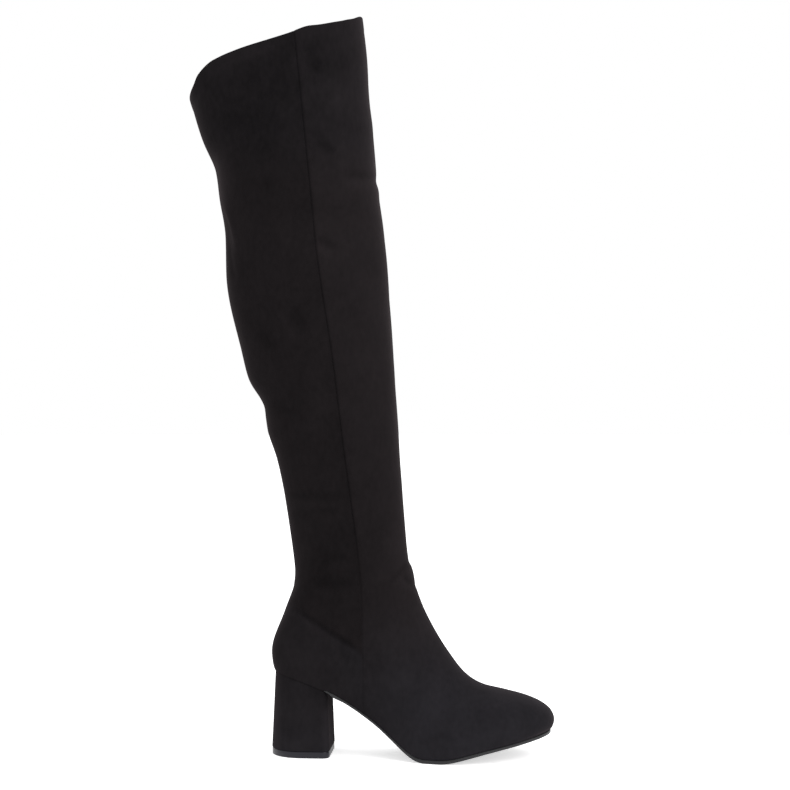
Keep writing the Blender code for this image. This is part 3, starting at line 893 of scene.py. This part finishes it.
def sole_outline(inset, height, tuck=0.0, count=150):
    """The foot's plan outline set in all round, and further by the tuck at the heel seat.

    At the toe it is set in by a share of the tuck. The half-width is the table's less the insets, times the
    closing curves of heel and toe. Height is a function of x.
    """
    toe_tuck = TOE_TUCK_SHARE * tuck
    rear, toe = inset + tuck, inset + toe_tuck
    x = end_stations(SOLE_REAR + rear, SOLE_TIP - toe, count)
    close = toe_close(x, toe) * heel_close(x, rear)
    set_in = inset + tuck * at_seat(x) + toe_tuck * ramp(x, *TOE_TUCK_RUN)
    widths = [(smooth(x, SOLE["x"], SOLE[side]) - set_in) * close for side in SIDE_SIGN]
    return np.stack([x, *widths, height(x)])


def heel_outline(share, inset, height, count=110):
    """The heel's D-shaped section, share 0 at its floor end and 1 at the seat.

    The back is half an ellipse, the breast is flat, and quarter circles round its corners.
    """
    rear = blend(HEEL_FLOOR_REAR, SOLE_REAR + HEEL_SEAT_INSET, share) + inset
    breast = blend(HEEL_FLOOR_BREAST, BREAST_TOP, share) - inset
    x = end_stations(rear, breast, count)
    round_back = np.clip((rear + HEEL_ROUND - x) / HEEL_ROUND, 0.0, 1.0)
    corner = np.clip((x - breast + BREAST_CORNER) / BREAST_CORNER, 0.0, 1.0)
    rounding = BREAST_CORNER * (1 - np.sqrt(1 - corner**2))
    widths = []
    for side in SIDE_SIGN:
        seat = smooth(x, SOLE["x"], SOLE[side]) - HEEL_SEAT_INSET
        full = blend(HEEL_FLOOR_HALF_WIDTH, seat, share) - inset
        widths.append(full * np.sqrt(1 - round_back**2) - rounding)
    return np.stack([x, *widths, height(x)])


def front_rings(outer, inner, across):
    """Rings that fill a slab's flat front from its rim to its middle.

    Each ring is the rim drawn in towards the middle, by level and by share across. Its points lie between
    the outer and inner ends of the levels.
    """
    middle = 0.5
    level = np.linspace(0.0, 1.0, len(outer))
    share = np.linspace(0.0, 1.0, across)
    up = np.concatenate([0 * share, level[1:-1], 1 + 0 * share, level[-2:0:-1]])
    over = np.concatenate([share, 1 + 0 * level[1:-1], 1 - share, 0 * level[1:-1]])
    shrink = np.append(1 - 2 * level[1 : (len(level) + 1) // 2], 0.0)[:, None]
    up, over = blend(middle, up, shrink), blend(middle, over, shrink)
    ends = [
        np.stack([np.interp(up, level, part) for part in side.T], axis=-1) for side in (inner, outer)
    ]
    return blend(*ends, over[..., None])


def slab_grid(levels, across, under=None, over=None, flat_front=False):
    """A closed slab through outlines stacked from its underside to its top.

    At each station a loop goes over the underside from the inner to the outer edge, up the outer side, back
    over the top and down the inner side. The two faces may carry a relief, a function of x and the share
    across.
    """
    x, outer, inner, z = np.asarray(levels).transpose(1, 0, 2)
    outer_side = np.stack([x, swing(x) - outer, z], axis=-1)
    inner_side = np.stack([x, swing(x) + inner, z], axis=-1)
    share = np.linspace(0.0, 1.0, across)[:, None, None]
    bottom = blend(inner_side[0], outer_side[0], share)
    top = blend(outer_side[-1], inner_side[-1], share)
    if under is not None:
        bottom[..., 2] += under(bottom[..., 0], share[..., 0])
    if over is not None:
        top[..., 2] += over(top[..., 0], share[..., 0])
    loops = np.concatenate([bottom, outer_side[1:-1], top, inner_side[-2:0:-1]]).transpose(1, 0, 2)
    if flat_front:
        loops = np.concatenate([loops, front_rings(outer_side[:, -1], inner_side[:, -1], across)])
    return loops


def rounded_edge(thickness, radius, steps=5):
    """Heights and insets of an edge rounded above and below: quarter circles joined by a straight side."""
    turn = np.linspace(0.0, math.pi / 2, steps)
    low = radius * (1 - np.cos(turn))
    inset = radius * (1 - np.sin(turn))
    return np.concatenate([low, thickness - low[::-1]]), np.concatenate([inset, inset[::-1]])


# Ribs under sole and top piece: level of the cosine where a groove starts and how far on it is full, plain
# border as a share of the width, how soon the grooves fade there, first and last place, length of that fade
RIB_COLUMNS = ("land", "flank", "border", "border_fade", "first", "last", "end_fade")
RIB_TABLE = (
    (0.55, 0.3, 0.07, 0.03, 104.0, 226.0, 4.0),
    (0.5, 0.3, 0.12, 0.04, 6.0, 44.0, 2.0),
)
SOLE_RIBS, LIFT_RIBS = named_rows(RIB_COLUMNS, RIB_TABLE)


def cross_ribs(ribs, pitch, depth):
    """Relief of cross grooves: a cosine along x, clipped to flat lands and floors, faded at its borders."""

    def relief(x, share):
        groove = ramp(np.cos(2 * math.pi * x / pitch), ribs["land"], ribs["flank"])
        from_edge = np.minimum(share, 1 - share)
        ends = ramp(x, ribs["first"], ribs["end_fade"]) * ramp(x, ribs["last"], -ribs["end_fade"])
        return depth * groove * ramp(from_edge, ribs["border"], ribs["border_fade"]) * ends

    return relief


# Outsole: edge rounding as a share of its thickness, how far it stands out, where its underside is fuller
SOLE_ACROSS = 28
SOLE_EDGE = 0.22
SOLE_MARGIN = 0.5
BREAST_FILL = 1.1
BREAST_FILL_AT = 55.0
BREAST_FILL_REACH = 6.0
BREAST_FILL_RUN = (50.0, 3.0)
TOE_FILL = 0.8
TOE_FILL_RUN = (195.0, 35.0)


def outsole_grid(sizes):
    """The outsole with rounded edges, ribbed under the forefoot inside a plain border.

    Its underside is the table's line, a little fuller in the corner with the heel's breast and at the toe.
    """
    share_up, inset = rounded_edge(1.0, SOLE_EDGE)
    tuck, thickest = sizes.sole_tuck / MM, SOLE["thick"].max()

    def underside(x):
        breast = BREAST_FILL * hump(x - BREAST_FILL_AT, BREAST_FILL_REACH) * ramp(x, *BREAST_FILL_RUN)
        return sole_underside(x) - breast - TOE_FILL * ramp(x, *TOE_FILL_RUN)

    def level(up, back):
        def height(x):
            return blend(underside(x), sole_top(x), up)

        return sole_outline(thickest * back - SOLE_MARGIN, height, tuck)

    levels = [level(up, back) for up, back in zip(share_up, inset)]
    ribs = cross_ribs(SOLE_RIBS, sizes.rib_pitch / MM, sizes.rib_depth / MM)
    return slab_grid(levels, SOLE_ACROSS, under=ribs)


INSOLE_ACROSS = 24
INSOLE_EDGE = 0.9
INSOLE_CLEARANCE = 0.5
INSOLE_HOLLOW = 0.5


def insole_grid(sizes):
    """The sock on the insole: softly rounded at its edge and hollowed along the middle by a squared sine."""
    up, inset = rounded_edge(INSOLE_THICK, INSOLE_EDGE)
    clearance = sizes.wall / MM + sizes.lining / MM + INSOLE_CLEARANCE
    levels = [
        sole_outline(clearance + back, lambda x, up=high: sole_top(x) + GAP + up)
        for high, back in zip(up, inset)
    ]

    def hollow(x, share):
        return -INSOLE_HOLLOW * np.sin(math.pi * share) ** 2

    return slab_grid(levels, INSOLE_ACROSS, over=hollow)


HEEL_ACROSS = 16
HEEL_LEVELS = 25
HEEL_ROLL = 0.5
HEEL_ROLL_STEPS = 5


def heel_grid():
    """The covered heel from its top piece to the seat, its lower edge rolled in where the cover turns under.

    Its sections go straight from the floor's outline to the seat's, and the roll is a quarter circle.
    """
    floor = LIFT_THICK + FEATHER_GAP

    def level(share, inset, lift):
        def height(x):
            return blend(floor + lift, sole_underside(np.maximum(x, SOLE_REAR)) - GAP, share)

        return heel_outline(share, inset, height)

    turn = np.linspace(0.0, math.pi / 2, HEEL_ROLL_STEPS)
    rolled = [level(0.0, HEEL_ROLL * (1 - np.sin(t)), HEEL_ROLL * (1 - np.cos(t))) for t in turn]
    body = [level(share, 0.0, HEEL_ROLL) for share in np.linspace(0.0, 1.0, HEEL_LEVELS + 1)[1:]]
    return slab_grid(rolled + body, HEEL_ACROSS, flat_front=True)


# Nap of the heel's cover with painted light and shade: its middle tone, and rows of a lift with its ramps
# along x and up z
EVERYWHERE = (-1000.0, 1.0)
HEEL_NAP = 0.53
HEEL_NAP_AND_PAINTED_LIGHT = (
    # Painted shade under the sole: darker towards the top, more so near the breast
    (-0.12, EVERYWHERE, (40.0, 28.0)),
    (-0.15, (26.0, 14.0), (40.0, 14.0)),
    # Painted highlight round the back
    (0.42, (13.0, -12.0), EVERYWHERE),
    # Lighter towards the bottom
    (0.15, EVERYWHERE, (26.0, -14.0)),
    # Painted light low on the breast, which lies in shade under the arch
    (0.25, (42.0, 7.0), (46.0, -10.0)),
)
HEEL_COOL = 0.5
HEEL_COOL_LOW = 0.2
HEEL_COOL_RUN = (45.0, -30.0)


def heel_tones(x, z):
    """Nap and cool cast of the heel's cover, with painted light and shade: each row lifts the nap by its
    ramp along x times that up z.
    """
    nap_and_painted_light = np.full_like(x, HEEL_NAP)
    for lift, along, up in HEEL_NAP_AND_PAINTED_LIGHT:
        nap_and_painted_light += lift * ramp(x, *along) * ramp(z, *up)
    return {"nap_and_painted_light": nap_and_painted_light, "cool": HEEL_COOL + HEEL_COOL_LOW * ramp(z, *HEEL_COOL_RUN)}


LIFT_ACROSS = 24
LIFT_EDGE = 0.9
LIFT_INSET = 0.25
LIFT_RIB_PITCH = 5.0
LIFT_RIB_DEPTH = 0.4


def lift_grid():
    """The top piece under the heel: rounded at both edges, with shallow cross ribs underneath."""
    heights, inset = rounded_edge(LIFT_THICK, LIFT_EDGE)
    levels = [
        heel_outline(0.0, LIFT_INSET + back, lambda x, up=up: np.full_like(x, up))
        for up, back in zip(heights, inset)
    ]
    ribs = cross_ribs(LIFT_RIBS, LIFT_RIB_PITCH, LIFT_RIB_DEPTH)
    return slab_grid(levels, LIFT_ACROSS, under=ribs, flat_front=True)


def grid_faces(rows, columns, closed_rows):
    """Corner numbers of a grid's quads. Columns always close on themselves, rows where asked."""
    row = np.arange(rows if closed_rows else rows - 1)[:, None]
    column = np.arange(columns)[None, :]
    after, beside = (row + 1) % rows, (column + 1) % columns
    here, there = row * columns, after * columns
    corners = (here + column, here + beside, there + beside, there + column)
    return np.stack(np.broadcast_arrays(*corners), axis=-1).reshape(-1, 4)


def grid_piece(name, grid, closed_rows=False, flip=False, attributes=None):
    """A smooth mesh object from a grid on the last, set into the boot's frame, its doubled points merged."""
    rows, columns, _ = grid.shape
    points = (grid.reshape(-1, 3) - (ORIGIN_X, 0.0, 0.0)) * MM
    faces = grid_faces(rows, columns, closed_rows)
    mesh = bpy.data.meshes.new(name)
    mesh.from_pydata(points.tolist(), [], (faces[:, ::-1] if flip else faces).tolist())
    for label, values in (attributes or {}).items():
        layer = mesh.attributes.new(label, "FLOAT", "POINT")
        layer.data.foreach_set("value", np.ascontiguousarray(values, np.float32).ravel())
    cage = bmesh.new()
    cage.from_mesh(mesh)
    bmesh.ops.remove_doubles(cage, verts=cage.verts, dist=MERGE_DISTANCE)
    cage.to_mesh(mesh)
    cage.free()
    mesh.shade_smooth()
    mesh.set_sharp_from_angle(angle=SHARP_ANGLE)
    piece = bpy.data.objects.new(name, mesh)
    bpy.context.scene.collection.objects.link(piece)
    return piece


class Socket:
    """An output of a material's nodes. Arithmetic on it adds Math nodes."""

    def __init__(self, finish, socket):
        self.finish = finish
        self.socket = socket

    def math(self, operation, *terms):
        return self.finish.node("ShaderNodeMath", {"operation": operation}, dict(enumerate(terms)))

    def __add__(self, other):
        return self.math("ADD", self, other)

    def __sub__(self, other):
        return self.math("SUBTRACT", self, other)

    def __rsub__(self, other):
        return self.math("SUBTRACT", other, self)

    def __mul__(self, other):
        return self.math("MULTIPLY", self, other)

    __radd__ = __add__
    __rmul__ = __mul__


class Finish:
    """A material with one Principled shader, and the method that adds its other nodes."""

    def __init__(self, name, constants):
        self.material = bpy.data.materials.new(name)
        self.material.use_nodes = True
        self.tree = self.material.node_tree
        self.shader = self.tree.nodes["Principled BSDF"]
        for socket, value in constants.items():
            self.shader.inputs[socket].default_value = value

    def node(self, kind, settings=None, sockets=None, output=0):
        """Adds a node, first its settings, then its sockets' values or links. Returns one output."""
        made = self.tree.nodes.new(kind)
        for name, value in (settings or {}).items():
            setattr(made, name, value)
        for key, value in (sockets or {}).items():
            self.feed(made.inputs[key], value)
        return Socket(self, made.outputs[output])

    def feed(self, socket, value):
        if isinstance(value, Socket):
            self.tree.links.new(value.socket, socket)
        else:
            socket.default_value = value

    def surface(self, **values):
        """Links what varies over the surface to the shader, by socket name with underscores for spaces."""
        for name, value in values.items():
            self.feed(self.shader.inputs[name.replace("_", " ")], value)
        return self.material

    def place(self, stretch=(1.0, 1.0, 1.0)):
        """Object coordinates in metres, stretched along an axis where a pattern runs."""
        where = self.node("ShaderNodeTexCoord", output="Object")
        return self.node("ShaderNodeMapping", sockets={"Vector": where, "Scale": stretch})

    def noise(self, vector, scale, detail=2.0, roughness=0.5):
        sockets = {"Vector": vector, "Scale": scale, "Detail": detail, "Roughness": roughness}
        return self.node("ShaderNodeTexNoise", sockets=sockets)

    def mix(self, factor, first, second, blend="MIX"):
        """Mixes two colours, each a link or three numbers, by the node's own clamped factor."""
        ends = [end if isinstance(end, Socket) else (*end, 1.0) for end in (first, second)]
        settings = {"data_type": "RGBA", "blend_type": blend}
        return self.node("ShaderNodeMix", settings, {0: factor, 6: ends[0], 7: ends[1]}, output=2)

    def attribute(self, name):
        return self.node("ShaderNodeAttribute", {"attribute_name": name}, output="Fac")

    def bump(self, height, distance, strength=1.0):
        sockets = {"Strength": strength, "Distance": distance, "Height": height}
        return self.node("ShaderNodeBump", sockets=sockets, output="Normal")


# Suede: how strongly blotches and hand marks show on the shaft and what the foot adds, then the fibres
NOISE_MEAN = 0.5
SHAFT_BLOTCHES, FOOT_BLOTCHES = 0.3, 0.45
SHAFT_MARKS, FOOT_MARKS = 0.26, 0.2
FIBRE_TONE = 0.16
FIBRE_HEIGHT, MARK_HEIGHT = 0.7, 0.3
SUEDE_ROUGHNESS, FIBRE_ROUGHNESS = 0.86, 0.14


def suede_finish(name, colours, sheen):
    """Short matt nap: the tone of each point, brushed nap with painted light and shade, cloudy blotches,
    hand marks and a fine fibre grain.
    """
    constants = {
        "Sheen Weight": sheen,
        "Sheen Roughness": 0.4,
        "Sheen Tint": (1.0, 0.86, 0.89, 1.0),
        "Specular IOR Level": 0.0,
    }
    finish = Finish(name, constants)
    cool = finish.attribute("cool")
    blotch = finish.noise(finish.place(), scale=32.0, detail=4.0, roughness=0.55)
    marks = finish.noise(finish.place(stretch=(1.0, 1.0, 0.6)), scale=260.0, detail=3.0)
    fibre = finish.noise(finish.place(stretch=(1.0, 1.0, 0.4)), scale=2600.0, detail=2.0, roughness=0.7)
    blotches = (SHAFT_BLOTCHES + FOOT_BLOTCHES * cool) * (blotch - NOISE_MEAN)
    rubbed = (SHAFT_MARKS + FOOT_MARKS * cool) * (marks - NOISE_MEAN)
    # The point's tone: nap with its painted shade and highlights, then blotches, marks and fibres
    tone = finish.attribute("nap_and_painted_light") + (blotches + rubbed) + FIBRE_TONE * (fibre - NOISE_MEAN)
    colour = finish.mix(tone, colours.dark_nap_and_painted_shade, colours.light_nap_and_painted_highlight)
    return finish.surface(
        Base_Color=finish.mix(cool, colour, colours.foot_tint, blend="MULTIPLY"),
        Roughness=SUEDE_ROUGHNESS + FIBRE_ROUGHNESS * fibre,
        Normal=finish.bump(FIBRE_HEIGHT * fibre + MARK_HEIGHT * marks, distance=0.00018, strength=0.6),
    )


def shades(colour, low, high):
    """A darker and a lighter shade of a colour: the colour times each factor."""
    return tuple(low * part for part in colour), tuple(high * part for part in colour)


# Cloth: measure of a wave texture's period at scale 1, in metres, and the shares of thread and mottle
WAVE_PERIOD = 0.314
THREAD_TONE, CLOTH_MOTTLE = 0.55, 0.45
CLOTH_ROUGHNESS, CLOTH_DULLING = 0.72, 0.2


def cloth_finish(name, colours, pitch):
    """Plain weave: two crossing waves of threads, with a slight mottle."""
    finish = Finish(name, {"Specular IOR Level": 0.15, "Sheen Weight": 0.08})
    place = finish.place()
    waves = [
        finish.node(
            "ShaderNodeTexWave",
            {"wave_type": "BANDS", "bands_direction": direction},
            {"Vector": place, "Scale": WAVE_PERIOD / pitch, "Distortion": 0.3, "Detail": 1.0},
            output="Fac",
        )
        for direction in ("DIAGONAL", "Z")
    ]
    weave = waves[0] * waves[1]
    mottle = finish.noise(place, scale=90.0, detail=3.0)
    dark, light = shades(colours.lining, low=0.55, high=1.4)
    return finish.surface(
        Base_Color=finish.mix(THREAD_TONE * weave + CLOTH_MOTTLE * mottle, dark, light),
        Roughness=CLOTH_ROUGHNESS + CLOTH_DULLING * mottle,
        Normal=finish.bump(weave, distance=0.00015, strength=0.7),
    )


RUBBER_CLOUD, RUBBER_GRAIN = 0.6, 0.4
GRAIN_ROUGHNESS = 0.08


def rubber_finish(name, colour, roughness, scuffs):
    """Moulded rubber or plastic: even colour with a slight cloud, a fine grain and dull scuffs."""
    finish = Finish(name, {"Specular IOR Level": 0.3})
    place = finish.place()
    grain = finish.noise(place, scale=900.0, detail=3.0)
    cloud = finish.noise(place, scale=60.0, detail=3.0)
    dark, light = shades(colour, low=0.75, high=1.35)
    return finish.surface(
        Base_Color=finish.mix(RUBBER_CLOUD * cloud + RUBBER_GRAIN * grain, dark, light),
        Roughness=roughness + scuffs * cloud + GRAIN_ROUGHNESS * grain,
        Normal=finish.bump(grain, distance=0.00008, strength=0.35),
    )


def dress(piece, node, material):
    """Gives a piece its finish, stands it for its solid where it has one, and lets it ride on the boot."""
    piece.data.materials.append(material)
    if node:
        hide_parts(node)
    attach(piece, BODY)


class BOOT_OT_upper(bpy.types.Operator):
    """Make the suede upper with its seams, creases and turned-in hem"""

    bl_idname = "heeled_boot.upper"
    bl_label = "Suede upper"

    def execute(self, context):
        grid, attributes = suede_grid(context.scene.boot_sizes)
        piece = grid_piece("upper_suede", grid, closed_rows=True, attributes=attributes)
        finish = suede_finish("black_suede", context.scene.boot_colours, sheen=0.06)
        dress(piece, "upper", finish)
        return {"FINISHED"}


class BOOT_OT_lining(bpy.types.Operator):
    """Make the cloth lining of the shaft and foot"""

    bl_idname = "heeled_boot.lining"
    bl_label = "Lining"

    def execute(self, context):
        grid = lining_grid(context.scene.boot_sizes)
        piece = grid_piece("shaft_lining", grid, closed_rows=True)
        finish = cloth_finish("lining_cloth", context.scene.boot_colours, pitch=0.0009)
        dress(piece, None, finish)
        return {"FINISHED"}


class BOOT_OT_insole(bpy.types.Operator):
    """Make the insole with its sock"""

    bl_idname = "heeled_boot.insole"
    bl_label = "Insole"

    def execute(self, context):
        piece = grid_piece("sock_insole", insole_grid(context.scene.boot_sizes), flip=True)
        finish = cloth_finish("sock_cloth", context.scene.boot_colours, pitch=0.0012)
        dress(piece, "insole", finish)
        return {"FINISHED"}


class BOOT_OT_outsole(bpy.types.Operator):
    """Make the rubber outsole with its ribs"""

    bl_idname = "heeled_boot.outsole"
    bl_label = "Outsole"

    def execute(self, context):
        piece = grid_piece("ribbed_outsole", outsole_grid(context.scene.boot_sizes), flip=True)
        colour = context.scene.boot_colours.sole
        finish = rubber_finish("sole_rubber", colour, roughness=0.34, scuffs=0.14)
        dress(piece, "outsole", finish)
        return {"FINISHED"}


class BOOT_OT_heel(bpy.types.Operator):
    """Make the suede-covered heel and the top piece under it"""

    bl_idname = "heeled_boot.heel"
    bl_label = "Heel"

    def execute(self, context):
        colours = context.scene.boot_colours
        grid = heel_grid()
        block = grid_piece("heel_cover", grid, flip=True, attributes=heel_tones(grid[..., 0], grid[..., 2]))
        dress(block, "heel", suede_finish("heel_suede", colours, sheen=0.03))
        lift = grid_piece("heel_lift", lift_grid(), flip=True)
        finish = rubber_finish("lift_plastic", colours.lift, roughness=0.28, scuffs=0.12)
        dress(lift, "heel_top_piece", finish)
        return {"FINISHED"}


FLOOR_RADIUS = 12.0
FLOOR_EYE = 0.002
FLOOR_RINGS = 12
FLOOR_SPOKES = 96


def floor_piece(colour, glow):
    """A flat disc: rings of points round the origin, further apart outwards as a square grows."""
    around = np.linspace(0.0, 2 * math.pi, FLOOR_SPOKES, endpoint=False)
    reach = FLOOR_RADIUS * np.linspace(FLOOR_EYE, 1.0, FLOOR_RINGS)[:, None] ** 2
    flat = np.zeros((FLOOR_RINGS, FLOOR_SPOKES))
    rings = np.stack([reach * np.cos(around), reach * np.sin(around), flat], axis=-1)
    mesh = bpy.data.meshes.new("studio_floor")
    faces = grid_faces(FLOOR_RINGS, FLOOR_SPOKES, False)[:, ::-1].tolist()
    mesh.from_pydata(rings.reshape(-1, 3).tolist(), [], [*faces, tuple(range(FLOOR_SPOKES))])
    floor = bpy.data.objects.new("studio_floor", mesh)
    bpy.context.scene.collection.objects.link(floor)
    constants = {
        "Base Color": (*colour, 1.0),
        "Specular IOR Level": 0.1,
        "Roughness": 0.9,
        "Emission Color": (1.0, 1.0, 1.0, 1.0),
        "Emission Strength": glow,
    }
    floor.data.materials.append(Finish("floor_paper", constants).material)


# Soft lights: place, width and height, colour. Both face the middle of the boot.
LIGHT_TARGET = (0.0, 0.0, 0.3)
KEY_LIGHT = ((1.5, -1.3, 1.2), (1.2, 1.4), (1.0, 0.97, 0.97))
TOP_LIGHT = ((0.3, -0.2, 1.9), (1.4, 1.0), (0.94, 0.95, 1.0))
SENSOR_WIDTH = 36.0


def area_light(name, power, place, size, colour):
    """A large soft light that faces the boot."""
    light = bpy.data.lights.new(name, "AREA")
    light.shape = "RECTANGLE"
    light.size, light.size_y = size
    light.energy = power
    light.color = colour
    made = bpy.data.objects.new(name, light)
    made.location = place
    made.rotation_euler = (Vector(LIGHT_TARGET) - Vector(place)).to_track_quat("-Z", "Y").to_euler()
    bpy.context.scene.collection.objects.link(made)


class BOOT_OT_stage(bpy.types.Operator):
    """Set the pale floor, the soft light and the camera"""

    bl_idname = "heeled_boot.stage"
    bl_label = "Stage"

    def execute(self, context):
        scene, stage = context.scene, context.scene.boot_stage
        floor_piece(scene.boot_colours.floor, stage.glow)
        world = bpy.data.worlds.new("white_surround")
        world.use_nodes = True
        background = world.node_tree.nodes["Background"]
        background.inputs["Color"].default_value = (1.0, 1.0, 1.0, 1.0)
        background.inputs["Strength"].default_value = stage.sky
        scene.world = world
        area_light("key_light", stage.key, *KEY_LIGHT)
        area_light("top_light", stage.top, *TOP_LIGHT)

        camera = bpy.data.objects.new("boot_camera", bpy.data.cameras.new("boot_camera"))
        camera.data.sensor_width = SENSOR_WIDTH
        camera.data.lens = SENSOR_WIDTH * stage.distance / stage.view_width
        aim = Vector((stage.aim_x, 0.0, stage.height))
        back = Vector((math.sin(stage.azimuth), -math.cos(stage.azimuth), 0.0))
        camera.location = aim + back * stage.distance
        camera.rotation_euler = (-back).to_track_quat("-Z", "Y").to_euler()
        scene.collection.objects.link(camera)
        scene.camera = camera
        scene.view_settings.view_transform = "Standard"
        return {"FINISHED"}


OPERATORS = (BOOT_OT_upper, BOOT_OT_lining, BOOT_OT_insole, BOOT_OT_outsole, BOOT_OT_heel, BOOT_OT_stage)
GROUPS = {"boot_sizes": BootSizes, "boot_colours": BootColours, "boot_stage": BootStage}


class BOOT_PT_sidebar(bpy.types.Panel):
    """Lists the boot's pieces and settings"""

    bl_idname = "BOOT_PT_sidebar"
    bl_label = "Heeled boot"
    bl_space_type = "VIEW_3D"
    bl_region_type = "UI"
    bl_category = "Boot"

    def draw(self, context):
        for operator in OPERATORS:
            self.layout.operator(operator.bl_idname)
        for name, group in GROUPS.items():
            column = self.layout.column(align=True)
            for setting in group.__annotations__:
                column.prop(getattr(context.scene, name), setting)


def register():
    for kind in (*GROUPS.values(), *OPERATORS, BOOT_PT_sidebar):
        bpy.utils.register_class(kind)
    for name, group in GROUPS.items():
        setattr(bpy.types.Scene, name, PointerProperty(type=group))


def unregister():
    for name in GROUPS:
        delattr(bpy.types.Scene, name)
    for kind in (BOOT_PT_sidebar, *reversed(OPERATORS), *reversed(GROUPS.values())):
        bpy.utils.unregister_class(kind)


def main():
    register()
    bpy.ops.heeled_boot.stage()
    bpy.ops.heeled_boot.upper()
    bpy.ops.heeled_boot.lining()
    bpy.ops.heeled_boot.insole()
    bpy.ops.heeled_boot.outsole()
    bpy.ops.heeled_boot.heel()


if __name__ == "__main__":
    main()
